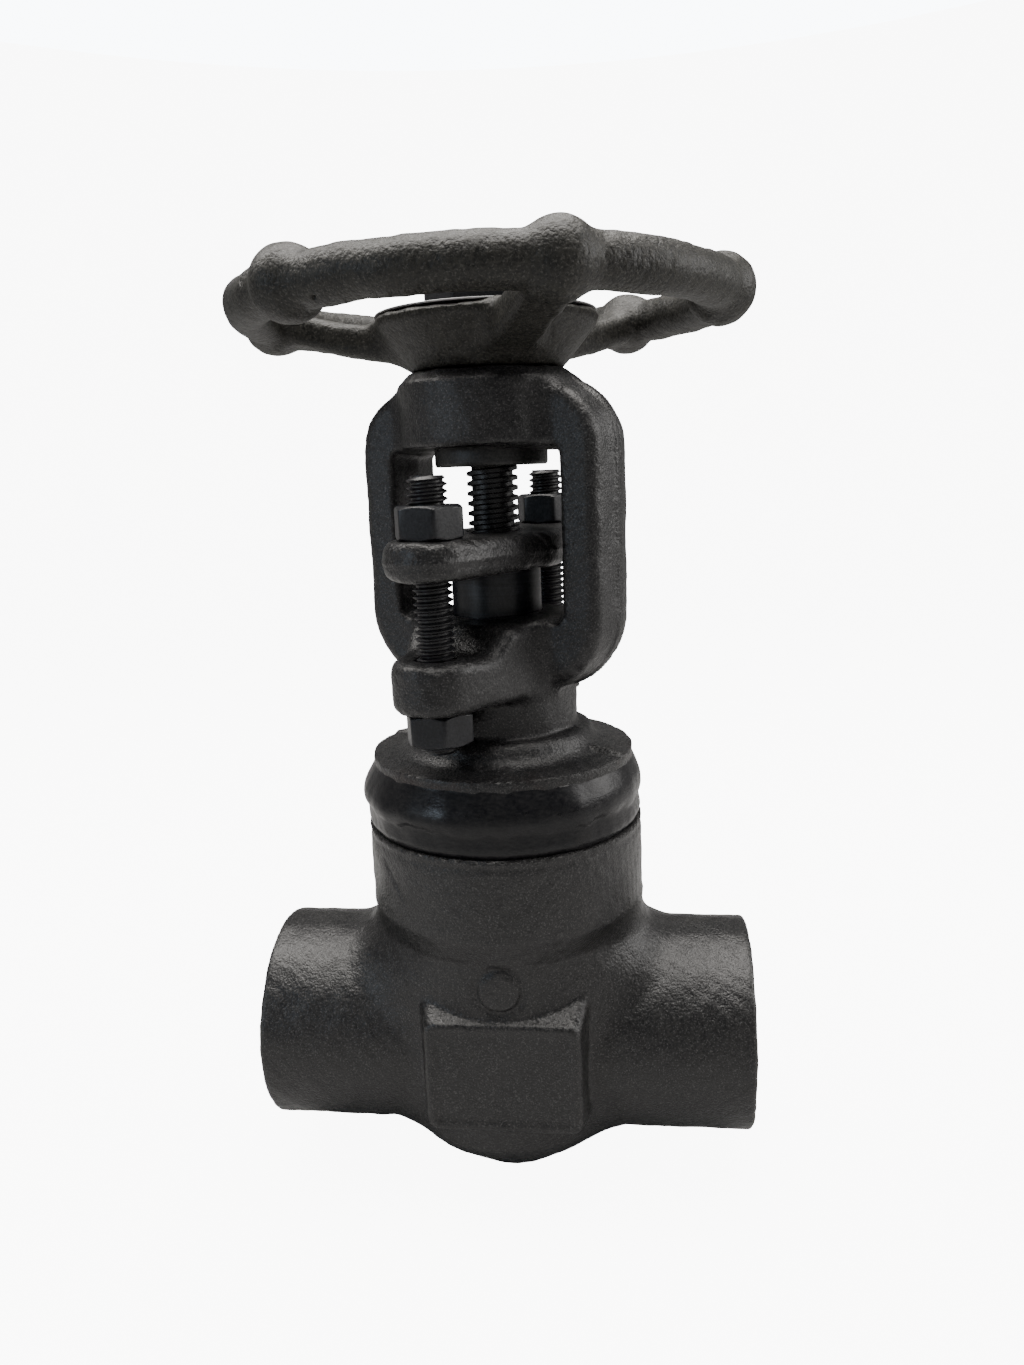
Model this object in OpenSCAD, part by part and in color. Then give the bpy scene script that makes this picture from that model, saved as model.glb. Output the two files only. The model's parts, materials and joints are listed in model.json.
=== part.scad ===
// Small forged-steel globe valve with outside screw and yoke, millimetres.
// The origin is where the pipe axis (X) crosses the stem axis (Z); +Z points at the handwheel.
// The valve is drawn shut, with the disc on its seat.

/* [Body forging] */
// Length from socket face to socket face
run_length = 111; // [100:1:140]
// Bore of the pipe socket
socket_d = 27.2; // [21:0.1:34]
// Wall of the socket ends
end_wall = 10.5; // [7:0.1:13]
// Depth of the pipe socket
socket_depth = 13; // [11:0.5:16]
// Diameter of the seat bore, which the flow passages almost match
port_d = 14; // [11:0.5:15]
// Outside diameter of the neck
neck_d = 62.6; // [58:0.2:76]
// Wall of the neck round the screwed spigot
neck_wall = 7.3; // [5:0.1:9]
// Height of the neck's top face above the pipe axis
neck_top = 52; // [46:0.5:64]
// Radius of the fillets between the neck and the socket ends
neck_fillet = 12; // [8:0.5:14]
// Diameter of the rounded middle below the neck
globe_d = 57; // [54:0.5:60]
// Depth of the body's lowest point below the pipe axis
body_depth = 34.5; // [32:0.5:40]
// Height of the seat's sealing edge above the pipe axis
seat_height = 6; // [5:0.5:8]
// Free width of the chamber all round the disc
chamber_gap = 6; // [4:0.5:7]
// Width of the raised pad on the front
pad_w = 35; // [28:1:38]
// Height of the raised pad on the front
pad_h = 26; // [20:1:28]

/* [Bonnet and yoke forging] */
// Turn of the bonnet and yoke about the stem, as it stopped when screwed in (degrees)
yoke_turn = -20.7; // [-90:0.1:90]
// How far the bonnet's round base stands back from the neck's wall
base_step = 1.9; // [1:0.1:3]
// Thickness of the bonnet's round base above the neck
base_h = 16.5; // [14:0.5:20]
// Length of the screwed spigot inside the body's neck
spigot_h = 16; // [12:0.5:20]
// Wall of that spigot
spigot_wall = 9; // [6:0.5:11]
// Wall of the stuffing box
box_wall = 7.3; // [5:0.1:9]
// Height of the stuffing box above the bonnet's base
box_h = 29.1; // [28:0.1:36]
// Depth of the stuffing box
box_depth = 26.2; // [24:0.1:27]
// Height of the yoke's window
window_h = 37; // [36:0.5:44]
// Width of the yoke's window
window_w = 40; // [38:0.5:46]
// Width of each arm, at its front and back face
arm_w = 7.7; // [5:0.1:11]
// How much the arms' outer sides stand out at the parting line
yoke_crown = 1.8; // [0.5:0.1:3]
// Thickness of the arms, front to back
yoke_t = 18; // [15:0.5:20]
// Thickness of the bridge above the window
bridge_h = 15; // [13:0.5:18]
// Wall of the top boss round the yoke bush
boss_wall = 9.8; // [6:0.1:12]
// Distance from the stuffing box's wall to the centre of each gland stud
stud_stand = 9.5; // [9:0.1:12]
// Wall of each stud lug round its stud
lug_wall = 5.25; // [4:0.05:7]
// Thickness of each stud lug at the stud
lug_t = 10.8; // [9:0.2:13]
// Height of the lugs' underside above the bonnet's base
lug_rise = 13.8; // [13:0.1:15]

/* [Stem, disc and bush] */
// Outside diameter of the stem and its thread
stem_d = 11.1; // [10:0.1:12]
// Rise of the stem in one turn
stem_pitch = 2.117; // [2:0.001:3]
// Turns of the handwheel from shut to open
stem_turns = 3; // [2:1:4]
// How far the stem stands out above the handwheel nut
stem_tip = 2.3; // [1:0.1:4]
// How much less the driving square measures across flats than the stem
square_step = 1.5; // [1:0.1:2.5]
// How far the disc's rim stands out past the seat bore
disc_rim = 4; // [3:0.1:5]
// Wall of the disc round the stem's button
disc_wall = 4; // [3:0.1:4.5]
// Height of the disc
disc_h = 14.5; // [14:0.5:18]
// Wall of the yoke bush's sleeve
sleeve_wall = 3.6; // [2.5:0.1:5]
// How far the bush's collar stands out past its sleeve
collar_rim = 3; // [2:0.1:4]
// Height of the bush's collar below the bridge
collar_h = 4.2; // [3:0.1:5]

/* [Gland and packing] */
// Radial thickness of the packing
packing_w = 4.2; // [3:0.1:5]
// Height of one packing ring
packing_h = 3.2; // [2.5:0.1:4]
// Number of packing rings
packing_count = 5; // [4:1:5]
// Thickness of the washer under the packing
packing_seat_h = 1.6; // [1:0.1:3]
// Thickness of the gland flange
flange_t = 7.8; // [6:0.2:9]
// Height of the gland flange's underside above the stuffing box
flange_gap = 11.3; // [9:0.1:12]
// Wall of the gland flange round the follower and the studs
flange_wall = 5.65; // [4:0.05:7]

/* [Studs and nuts] */
// Outside diameter of the gland studs
stud_d = 7.9; // [7:0.1:9]
// How far a stud stands out below its lower nut
stud_tail = 2; // [1:0.5:3]
// How far a stud stands out above its upper nut
stud_head = 5.6; // [4:0.2:8]
// Width across flats of the stud nuts
nut_af = 12.7; // [12:0.1:14]
// Height of the stud nuts
nut_h = 6.75; // [6:0.05:8]

/* [Handwheel] */
// Radius of the rim's centre line
rim_r = 48.3; // [44:0.1:60]
// Diameter of the rim's round section
rim_d = 9.4; // [8:0.1:11]
// Height of the rim's centre line above the top boss
rim_rise = 13.3; // [12:0.1:16]
// Diameter of the balls on the rim
ball_d = 13.9; // [12:0.1:15]
// Number of balls, half of which are at spokes
ball_count = 6; // [6:2:6]
// Angle of the first spoke from +X (degrees)
spoke_angle = -67.5; // [-180:0.5:180]
// Width of a spoke
spoke_w = 10.5; // [8:0.5:13]
// Radius of the hub at its lower end
hub_foot_r = 15.8; // [14:0.1:18]
// Radius of the hub at its upper lip
hub_lip_r = 23.6; // [21:0.1:26]
// Height of the hub
hub_h = 10.8; // [9:0.1:14]
// Thickness of the nameplate
plate_t = 0.7; // [0.5:0.1:1.2]
// How far the nameplate stands back from the hub's lip
plate_edge = 0.4; // [0.2:0.1:3]
// Width across flats of the handwheel nut
wheel_nut_af = 22.2; // [18:0.1:24]
// Height of the handwheel nut
wheel_nut_h = 8.2; // [6:0.1:10]

/* [Clearances] */
// Running clearance of the stem in its bush and of screwed parts, on the radius
run_clear = 0.05; // [0.02:0.01:0.1]
// Free clearance of the stem in the bonnet and gland, on the radius
free_clear = 0.15; // [0.1:0.05:0.3]
// Clearance of a stud in its hole, on the radius
stud_clear = 0.3; // [0.2:0.05:0.5]
// Gap that is left between the shut disc and its seat
seat_gap = 0.1; // [0.05:0.05:0.2]
// Gap between the handwheel's hub and the top boss
hub_gap = 0.4; // [0.3:0.1:1]

/* [Hidden] */

$fn = 96;
hull_fn = 32;                      // rounds that go into a hull
eps = 0.01;                        // overlap of cuts past a face

half_run = run_length / 2;
socket_floor = half_run - socket_depth;
end_d = socket_d + 2 * end_wall;
stem_r = stem_d / 2;
port_r = port_d / 2;
passage_r = port_r - 0.4;          // drilled passages between the sockets and the seat bore
disc_d = port_d + 2 * disc_rim;
chamber_d = disc_d + 2 * chamber_gap;
stem_lift = stem_pitch * stem_turns;

// Body
end_chamfer = 1;                   // at the rims of the socket ends
web_top = end_d / 2 + neck_fillet + 2;  // where the fillets start on the neck
web_r = 15;                        // half the width of the web where it leaves the neck
pad_face = globe_d / 2 + 0.6;      // the pad's flat face, in front of the stem axis
pad_top = 14.5;                    // upper edge of the pad above the pipe axis
seat_width = 2.4;                  // radial width of the hard-faced seat
seat_depth = 3;                    // depth of the hard facing in the body
under_seat = -13;                  // centre of the inlet passage under the seat
over_seat = 16;                    // centre of the outlet passage over the chamber floor
chamber_floor = seat_height;
globe_bottom = -13;                // where the straight middle turns into the bottom cone
cone_flat_r = 11.5;                  // radius of the rounded tip of the bottom cone

// Bonnet
base_d = neck_d - 2 * base_step;
spigot_d = neck_d - 2 * neck_wall;
bonnet_bore_r = spigot_d / 2 - spigot_wall;  // hollow of the spigot above the disc
base_top = neck_top + base_h;
neck_root = 5.5;                   // height of the fillet at the stuffing box's foot
root_r = 4.2;                      // its reach
shoulder_r = stem_r + 2.45;        // the stem's shoulder, which meets the back seat
back_seat = base_top - 8;          // lower edge of the back seat
back_seat_r = shoulder_r + 0.2;
box_r = stem_r + free_clear + packing_w;
box_d = 2 * (box_r + box_wall);
box_top = base_top + box_h;
box_floor = box_top - box_depth;
window_top = box_top + window_h;
boss_top = window_top + bridge_h;
arm_bottom = box_top - 12.9;       // underside of the yoke's arms
yoke_w = window_w + 2 * arm_w;
window_corner_r = 3;
outer_top_r = 12.5;                // outer corners of the yoke, above
outer_low_r = 14;                  // and below
shoulder_top = boss_top - 3.4;     // top of the yoke's shoulders
boss_chamfer = 2.4;
sleeve_d = 2 * (stem_r + run_clear + sleeve_wall);
collar_d = sleeve_d + 2 * collar_rim;
boss_d = sleeve_d + 2 * boss_wall;
stud_reach = box_d / 2 + stud_stand;  // from the stem to each gland stud
lug_w = stud_d + 2 * lug_wall;
lug_bottom = base_top + lug_rise;
lug_top = lug_bottom + lug_t;

// Gland
packing_bottom = box_floor + packing_seat_h;
packing_top = packing_bottom + packing_count * packing_h;
flange_bottom = box_top + flange_gap;
flange_top = flange_bottom + flange_t;
follower_r = box_r - run_clear;
follower_top = flange_bottom + 3;  // the follower's head sits in the flange
flange_w = 2 * (follower_r + flange_wall);
flange_end_r = stud_d / 2 + flange_wall;

// Studs
stud_bottom = lug_bottom - nut_h - stud_tail;
stud_top = flange_top + nut_h + stud_head;
thread_r = stud_d / 2 + run_clear;

// Handwheel
hub_bottom = boss_top + hub_gap;
hub_top = hub_bottom + hub_h;
rim_z = boss_top + rim_rise;
plate_d = 2 * (hub_lip_r - plate_edge);
plate_top = hub_top + plate_t;
spoke_count = ball_count / 2;
spoke_drop = 6.6;                  // depth of a spoke at the hub, below the lip

// Stem and disc
disc_bottom = seat_height - 3;     // the plug's lower face, inside the seat bore
disc_cavity_r = disc_d / 2 - disc_wall;
disc_floor = disc_bottom + 6;      // bottom of the hollow for the stem's button
button_r = disc_cavity_r - 0.5;
button_h = 3;
button_gap = 0.3;                  // end play of the button
tail_r = stem_r - 1.15;            // stem between the button and the shoulder
stem_top = plate_top + wheel_nut_h + stem_tip;
square_af = stem_d - square_step;
stem_end_d = square_af - 0.1;      // the screwed end in the handwheel nut
shoulder_top_z = back_seat - stem_lift - 0.4;
nut_neck = disc_floor + button_h + 2 * button_gap;
disc_nut_top = disc_bottom + disc_h + 3;

forged = [0.13, 0.13, 0.13];
weld_black = [0.10, 0.10, 0.12];
bright_steel = [0.45, 0.45, 0.46];
bolt_black = [0.16, 0.17, 0.20];
wheel_grey = [0.25, 0.25, 0.23];
graphite = [0.08, 0.08, 0.08];
plate_silver = [0.75, 0.75, 0.76];
bush_metal = [0.30, 0.29, 0.26];

// Turns what belongs to the bonnet into the yoke's own direction.
module in_yoke() { rotate([0, 0, yoke_turn]) children(); }

// A plain hole along Z from z0 to z1.
module hole(r, z0, z1) { translate([0, 0, z0]) cylinder(r = r, h = z1 - z0); }

// A cylinder along X between two heights of its axis, for slanted passages.
module passage(x0, z0, x1, z1, r) {
    run = norm([x1 - x0, z1 - z0]);
    translate([x0, 0, z0]) rotate([0, atan2(x1 - x0, z1 - z0), 0]) cylinder(r = r, h = run);
}

// ---------- body ----------

// The web that fills the corner between the neck and one socket end, with a round fillet.
module neck_web(s) {
    neck_r = neck_d / 2;
    reach = neck_r + neck_fillet;
    difference() {
        hull() {
            translate([s * reach, 0, 0]) rotate([0, 90, 0])
                cylinder(d = end_d - 0.4, h = 1, center = true, $fn = hull_fn);
            translate([s * (neck_r - web_r), 0, 0]) cylinder(r = web_r, h = web_top, $fn = hull_fn);
        }
        translate([s * (reach + 0.6), 0, end_d / 2 + neck_fillet - 0.2]) rotate([90, 0, 0])
            cylinder(r = neck_fillet, h = neck_d, center = true);
    }
}

// The round bar that both socket ends are part of.
module run_bar() {
    for (s = [-1, 1]) rotate([0, s * 90, 0]) cylinder(d = end_d, h = socket_floor);
}

// One socket end, from the socket's floor to its face.
module socket_end(s) {
    color(forged)
    rotate([0, s * 90, 0]) difference() {
        union() {
            hole(end_d / 2, socket_floor, half_run - end_chamfer);
            translate([0, 0, half_run - end_chamfer])
                cylinder(d1 = end_d, d2 = end_d - 2 * end_chamfer, h = end_chamfer);
        }
        hole(socket_d / 2, socket_floor - eps, half_run + eps);
    }
}

// Neck, rounded middle and bottom cone, turned about the stem axis.
module globe() {
    neck_r = neck_d / 2;
    globe_r = globe_d / 2;
    rotate_extrude()
        polygon([
            [0, neck_top], [neck_r, neck_top], [neck_r, 33], [globe_r, 26], [globe_r, globe_bottom],
            [globe_r - 2.2, globe_bottom - 7.4], [cone_flat_r, -body_depth + 1.4],
            [cone_flat_r - 3, -body_depth],
            [0, -body_depth]]);
}

module front_pad() {
    translate([-pad_w / 2 + 1, -pad_face, pad_top - pad_h])
        cube([pad_w, pad_face, pad_h]);
}

// The inlet dips under the seat and the outlet leaves the chamber above it.
module flow_way() {
    passage(-socket_floor - 2, 0, 0, under_seat, passage_r);
    passage(socket_floor + 2, 0, chamber_d / 2 - 8, over_seat, passage_r);
    hole(port_r, under_seat - port_r, chamber_floor + eps);
    hole(chamber_d / 2, chamber_floor, neck_top + eps);
}

// The forging between the two socket floors.
module body() {
    color(forged)
    difference() {
        intersection() {
            union() {
                run_bar();
                globe();
                neck_web(-1);
                neck_web(1);
                intersection() {
                    front_pad();
                    hole(globe_d / 2 + 4, -body_depth, neck_top);
                }
            }
            cube([2 * socket_floor, 2 * neck_d, 4 * neck_d], center = true);
        }
        flow_way();
        hole(spigot_d / 2 + run_clear, neck_top - spigot_h - 2, neck_top + eps);
        hole(port_r + seat_width, chamber_floor - seat_depth, chamber_floor + eps);
    }
}

// Hard facing laid round the seat bore; its inner edge is the 45 degree sealing cone.
module seat_facing() {
    color(bright_steel)
    rotate_extrude()
        polygon([
            [port_r, chamber_floor - seat_depth],
            [port_r + seat_width, chamber_floor - seat_depth],
            [port_r + seat_width, chamber_floor],
            [port_r + 1.4, chamber_floor],
            [port_r, chamber_floor - 1.4]]);
}

// Bead in the corner between the neck's top face and the bonnet's base.
module seal_weld() {
    bead_top = neck_top + 9.5;
    bead_mid = neck_top + 5.2;
    bead_r = neck_d / 2 + 0.3;
    color(weld_black)
    difference() {
        union() {
            translate([0, 0, neck_top]) cylinder(r1 = neck_d / 2 - 0.4, r2 = bead_r, h = bead_mid - neck_top);
            translate([0, 0, bead_mid]) cylinder(r1 = bead_r, r2 = base_d / 2 + 0.3, h = bead_top - bead_mid);
        }
        hole(base_d / 2, neck_top - eps, bead_top + eps);
    }
}

// ---------- bonnet and yoke ----------

// Front outline of the yoke; grow pushes its outer sides outwards.
module yoke_outline(grow) {
    half = yoke_w / 2 + grow;
    hull() {
        for (s = [-1, 1]) {
            translate([s * (half - outer_top_r), shoulder_top - outer_top_r]) circle(r = outer_top_r);
            translate([s * (half - outer_low_r), arm_bottom + outer_low_r]) circle(r = outer_low_r);
        }
    }
}

module window_2d() {
    r = window_corner_r;
    translate([-window_w / 2 + r, box_top + r])
        offset(r = r) square([window_w - 2 * r, window_h - 2 * r]);
}

// The closed frame of arms and bridge; each half tapers away from the parting line.
module yoke_frame() {
    steps = 3;
    difference() {
        rotate([90, 0, 0])
            for (k = [0 : steps - 1])
                linear_extrude(yoke_t * (k + 1) / steps, center = true, $fn = hull_fn)
                    yoke_outline(yoke_crown * (steps - 1 - k) / (steps - 1));
        rotate([90, 0, 0]) linear_extrude(yoke_t + 2, center = true, $fn = hull_fn) window_2d();
    }
}

module lug(s) {
    reach = s * stud_reach;
    translate([0, 0, lug_bottom]) {
        translate([-lug_w / 2, min(0, reach), 0]) cube([lug_w, stud_reach, lug_t]);
        translate([0, reach, 0]) cylinder(d = lug_w, h = lug_t);
    }
    // gusset that falls from the stuffing box's top face to the lug
    rotate([90, 0, 90]) linear_extrude(lug_w, center = true)
        polygon([
            [0, lug_top - 1], [s * (stud_reach - stud_d), lug_top - 1],
            [s * (stud_reach - stud_d), lug_top], [s * box_d / 2, box_top], [0, box_top]]);
}

module bonnet_outside() {
    base_r = base_d / 2;
    box_outer_r = box_d / 2;
    rotate_extrude()
        polygon([
            [0, neck_top - spigot_h], [spigot_d / 2, neck_top - spigot_h], [spigot_d / 2, neck_top],
            [base_r, neck_top], [base_r, base_top - 1], [base_r - 1, base_top],
            [box_outer_r + root_r + 3, base_top + 0.6],
            [box_outer_r + root_r, base_top + 2], [box_outer_r + root_r - 0.6, base_top + 4],
            [box_outer_r, base_top + neck_root], [box_outer_r, box_top], [0, box_top]]);
    yoke_frame();
    lug(-1);
    lug(1);
    hole(boss_d / 2, window_top, boss_top - boss_chamfer);
    translate([0, 0, boss_top - boss_chamfer])
        cylinder(d1 = boss_d, d2 = boss_d - 2 * boss_chamfer, h = boss_chamfer);
}

module bonnet_yoke() {
    color(forged)
    in_yoke() difference() {
        bonnet_outside();
        hole(bonnet_bore_r, neck_top - spigot_h - eps, back_seat - 3);
        hole(back_seat_r, back_seat - 3 - eps, back_seat);
        translate([0, 0, back_seat - eps])
            cylinder(r1 = back_seat_r, r2 = stem_r + free_clear, h = back_seat_r - stem_r - free_clear);
        hole(stem_r + free_clear, back_seat, box_top + eps);
        hole(box_r, box_floor, box_top + eps);
        hole(sleeve_d / 2, window_top - eps, boss_top + eps);
        for (s = [-1, 1])
            translate([0, s * stud_reach, 0])
                hole(stud_d / 2 + stud_clear, lug_bottom - eps, lug_top + 4);
    }
}

// Collared sleeve under the bridge; its bore carries the stem's thread.
module yoke_bush() {
    color(bush_metal)
    in_yoke() difference() {
        union() {
            hole(sleeve_d / 2, window_top, boss_top - 0.2);
            hole(collar_d / 2, window_top - collar_h + 0.6, window_top);
            translate([0, 0, window_top - collar_h])
                cylinder(d1 = collar_d - 1.2, d2 = collar_d, h = 0.6);
        }
        hole(stem_r + run_clear, window_top - collar_h - eps, boss_top + eps);
    }
}

// ---------- stem and disc ----------

module stem() {
    square_bottom = hub_bottom;
    color(bright_steel)
    in_yoke() {
        hole(button_r, disc_floor + button_gap, disc_floor + button_gap + button_h);
        hole(tail_r, disc_floor + button_gap, shoulder_top_z - 6);
        hole(shoulder_r, shoulder_top_z - 8, shoulder_top_z - (shoulder_r - stem_r));
        translate([0, 0, shoulder_top_z - (shoulder_r - stem_r)])
            cylinder(r1 = shoulder_r, r2 = stem_r, h = shoulder_r - stem_r);
        hole(stem_r, shoulder_top_z - eps, square_bottom);
        intersection() {
            translate([-square_af / 2, -square_af / 2, square_bottom - 1])
                cube([square_af, square_af, plate_top - 0.5 - square_bottom + 1]);
            hole(stem_r, square_bottom - 1, plate_top);
        }
        hole(stem_end_d / 2, square_bottom, stem_top - 1);
        translate([0, 0, stem_top - 1]) cylinder(r1 = stem_end_d / 2, r2 = stem_end_d / 2 - 1, h = 1);
    }
}

// Plug with a 45 degree sealing cone and a hollow for the stem's button.
module disc() {
    cone_r = port_r + 1.4;
    plug_r = port_r - 0.4;
    seat_z = seat_height + seat_gap * sqrt(2);
    color(bright_steel)
    difference() {
        rotate_extrude()
            polygon([
                [0, disc_bottom], [plug_r - 1, disc_bottom], [plug_r, disc_bottom + 1],
                [plug_r, seat_z - cone_r + plug_r], [cone_r, seat_z],
                [disc_d / 2, seat_z], [disc_d / 2, disc_bottom + disc_h], [0, disc_bottom + disc_h]]);
        hole(disc_cavity_r, disc_floor, disc_bottom + disc_h + eps);
    }
}

module disc_nut() {
    color(bright_steel)
    difference() {
        union() {
            hole(disc_cavity_r - run_clear, nut_neck, disc_bottom + disc_h);
            translate([0, 0, disc_bottom + disc_h])
                cylinder(r = disc_d / 2 - 1, h = disc_nut_top - disc_bottom - disc_h, $fn = 6);
        }
        hole(tail_r + 0.4, nut_neck - eps, disc_nut_top + eps);
    }
}

// ---------- packing and gland ----------

// A ring that fills the stuffing box between the stem and the wall.
module box_ring(z0, h) {
    difference() {
        hole(box_r - run_clear, z0, z0 + h);
        hole(stem_r + run_clear, z0 - eps, z0 + h + eps);
    }
}

module packing_seat() { color(bright_steel) box_ring(box_floor, packing_seat_h); }

module packing_ring(i) {
    color(graphite) box_ring(packing_bottom + (i - 1) * packing_h, packing_h);
}

module gland_follower() {
    color(forged)
    difference() {
        union() {
            hole(follower_r, packing_top, follower_top - 1);
            translate([0, 0, follower_top - 1]) cylinder(r1 = follower_r, r2 = follower_r - 1, h = 1);
        }
        hole(stem_r + free_clear, packing_top - eps, follower_top + eps);
    }
}

// Plan of the gland flange: a wide middle that narrows to its round ends.
module flange_plan() {
    hull() {
        circle(d = flange_w);
        for (s = [-1, 1]) translate([0, s * stud_reach]) circle(r = flange_end_r);
    }
}

module gland_flange() {
    bevel = 1.2;
    color(forged)
    in_yoke() difference() {
        union() {
            translate([0, 0, flange_bottom + bevel])
                linear_extrude(flange_t - 2 * bevel, $fn = 48) flange_plan();
            translate([0, 0, flange_bottom])
                linear_extrude(flange_t, $fn = 48) offset(delta = -bevel) flange_plan();
        }
        hole(follower_r + run_clear, flange_bottom - eps, follower_top);
        hole(stem_r + 0.6, flange_bottom, flange_top + eps);
        for (s = [-1, 1])
            translate([0, s * stud_reach, 0])
                hole(stud_d / 2 + stud_clear, flange_bottom - eps, flange_top + eps);
    }
}

module gland_stud(s) {
    tip = 0.8;
    color(bolt_black)
    in_yoke() translate([0, s * stud_reach, 0]) {
        hole(stud_d / 2, stud_bottom + tip, stud_top - tip);
        translate([0, 0, stud_bottom]) cylinder(r1 = stud_d / 2 - tip, r2 = stud_d / 2, h = tip);
        translate([0, 0, stud_top - tip]) cylinder(r1 = stud_d / 2, r2 = stud_d / 2 - tip, h = tip);
    }
}

// Hexagon nut with both ends chamfered; its thread is a plain bore of the stud's size.
module hex_nut(af, h, bore_r) {
    corner = af / cos(30) / 2 + eps;
    face_r = 0.475 * af;
    bevel = (corner - face_r) * tan(30);
    difference() {
        intersection() {
            cylinder(r = corner, h = h, $fn = 6);
            rotate_extrude()
                polygon([
                    [0, 0], [face_r, 0], [corner, bevel], [corner, h - bevel], [face_r, h], [0, h]]);
        }
        hole(bore_r, -eps, h + eps);
    }
}

module stud_nut(s, z) {
    color(bolt_black)
    in_yoke() translate([0, s * stud_reach, z]) rotate([0, 0, 10]) hex_nut(nut_af, nut_h, thread_r);
}

// ---------- handwheel ----------

module spoke(k) {
    rotate([0, 0, spoke_angle + k * 360 / spoke_count])
        rotate([90, 0, 0]) linear_extrude(spoke_w, center = true)
            polygon([
                [hub_foot_r - 4, hub_bottom + 2], [hub_foot_r + 3, hub_top - spoke_drop],
                [rim_r, rim_z - 3.4], [rim_r, rim_z + 3.4],
                [hub_lip_r + 3, hub_top + 0.5], [hub_lip_r - 2, hub_top - 1], [hub_foot_r - 4, hub_top - 1]]);
}

module wheel_rim() {
    translate([0, 0, rim_z]) rotate_extrude() translate([rim_r, 0]) circle(d = rim_d, $fn = 40);
    for (k = [0 : ball_count - 1])
        rotate([0, 0, spoke_angle + k * 360 / ball_count])
            translate([rim_r, 0, rim_z]) sphere(d = ball_d, $fn = 48);
}

module handwheel() {
    color(wheel_grey)
    difference() {
        union() {
            rotate_extrude()
                polygon([
                    [0, hub_bottom], [hub_foot_r, hub_bottom],
                    [hub_foot_r + 0.6 * (hub_lip_r - hub_foot_r), hub_bottom + 5.6],
                    [hub_lip_r, hub_top - 1.6], [hub_lip_r, hub_top - 0.8], [hub_lip_r - 0.8, hub_top],
                    [0, hub_top]]);
            for (k = [0 : spoke_count - 1]) spoke(k);
            wheel_rim();
        }
        in_yoke() intersection() {
            af = square_af + 2 * run_clear;
            translate([-af / 2, -af / 2, hub_bottom - 1]) cube([af, af, hub_h + 4]);
            hole(stem_r + run_clear, hub_bottom - 1, hub_top + 3);
        }
    }
}

module nameplate() {
    color(plate_silver)
    difference() {
        hole(plate_d / 2, hub_top, plate_top);
        hole(stem_r + 0.3, hub_top - eps, plate_top + eps);
    }
}

module wheel_nut() {
    color(bolt_black)
    translate([0, 0, plate_top]) rotate([0, 0, 7])
        hex_nut(wheel_nut_af, wheel_nut_h, stem_end_d / 2 + run_clear);
}

body();
socket_end(-1);  // inlet_end
socket_end(1);  // outlet_end
seat_facing();
seal_weld();
bonnet_yoke();
yoke_bush();
stem();
disc();
disc_nut();
packing_seat();
for (i = [1 : packing_count])
    packing_ring(i);
gland_follower();
gland_flange();
gland_stud(-1);  // gland_stud_front
gland_stud(1);  // gland_stud_back
stud_nut(-1, flange_top);  // gland_nut_front
stud_nut(1, flange_top);  // gland_nut_back
stud_nut(-1, lug_bottom - nut_h);  // lug_nut_front
stud_nut(1, lug_bottom - nut_h);  // lug_nut_back
handwheel();
nameplate();
wheel_nut();
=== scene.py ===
"""The finished look of a small forged globe valve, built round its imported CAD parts.

Sizes are millimetres in the valve's own frame: the pipe runs along X, the stem along Z, and the origin is
where they cross. put_piece turns millimetres into metres. Every turned, threaded, hexagonal or welded piece
is a grid of two parameters. The forgings and the casting, whose faces flow into one another through
fillets, are the zero surface of a distance written as whole arrays (Form), skinned by SkinMaker.
"""

from __future__ import annotations

import json
import logging
import math
from dataclasses import dataclass
from enum import Enum
from typing import Callable

import bmesh
import bpy
import numpy as np
from mathutils import Matrix, Vector

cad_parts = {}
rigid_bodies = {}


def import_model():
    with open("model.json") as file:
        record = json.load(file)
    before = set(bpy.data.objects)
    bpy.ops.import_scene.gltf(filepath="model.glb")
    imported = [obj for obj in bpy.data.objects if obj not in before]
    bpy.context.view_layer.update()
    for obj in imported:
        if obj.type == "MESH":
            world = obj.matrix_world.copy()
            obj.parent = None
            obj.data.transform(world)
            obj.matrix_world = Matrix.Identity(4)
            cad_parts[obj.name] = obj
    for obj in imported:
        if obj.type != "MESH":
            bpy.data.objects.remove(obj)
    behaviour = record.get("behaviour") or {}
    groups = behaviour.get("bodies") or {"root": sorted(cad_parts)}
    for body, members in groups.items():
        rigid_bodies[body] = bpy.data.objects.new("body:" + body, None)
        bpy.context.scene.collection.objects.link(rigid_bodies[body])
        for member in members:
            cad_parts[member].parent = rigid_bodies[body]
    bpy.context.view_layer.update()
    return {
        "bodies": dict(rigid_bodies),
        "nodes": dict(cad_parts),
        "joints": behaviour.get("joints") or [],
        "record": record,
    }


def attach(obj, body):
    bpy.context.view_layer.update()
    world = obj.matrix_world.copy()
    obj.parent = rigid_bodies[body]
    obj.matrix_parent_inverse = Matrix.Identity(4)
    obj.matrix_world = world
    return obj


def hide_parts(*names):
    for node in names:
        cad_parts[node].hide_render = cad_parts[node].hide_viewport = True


LOG = logging.getLogger("globe_valve")
MM = 0.001
YOKE_TURN = -20.7
STUD_REACH = 26.7
STUD_HOLE_R = 4.25
WARM = (1.0, 0.965, 0.925)
Array = np.ndarray
Distance = Callable[[Array, Array, Array], Array]
Point = tuple[float, float, float]
Colour = tuple[float, float, float]
Profile = list[tuple[float, float]]


# ---------- meshes ----------


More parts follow.
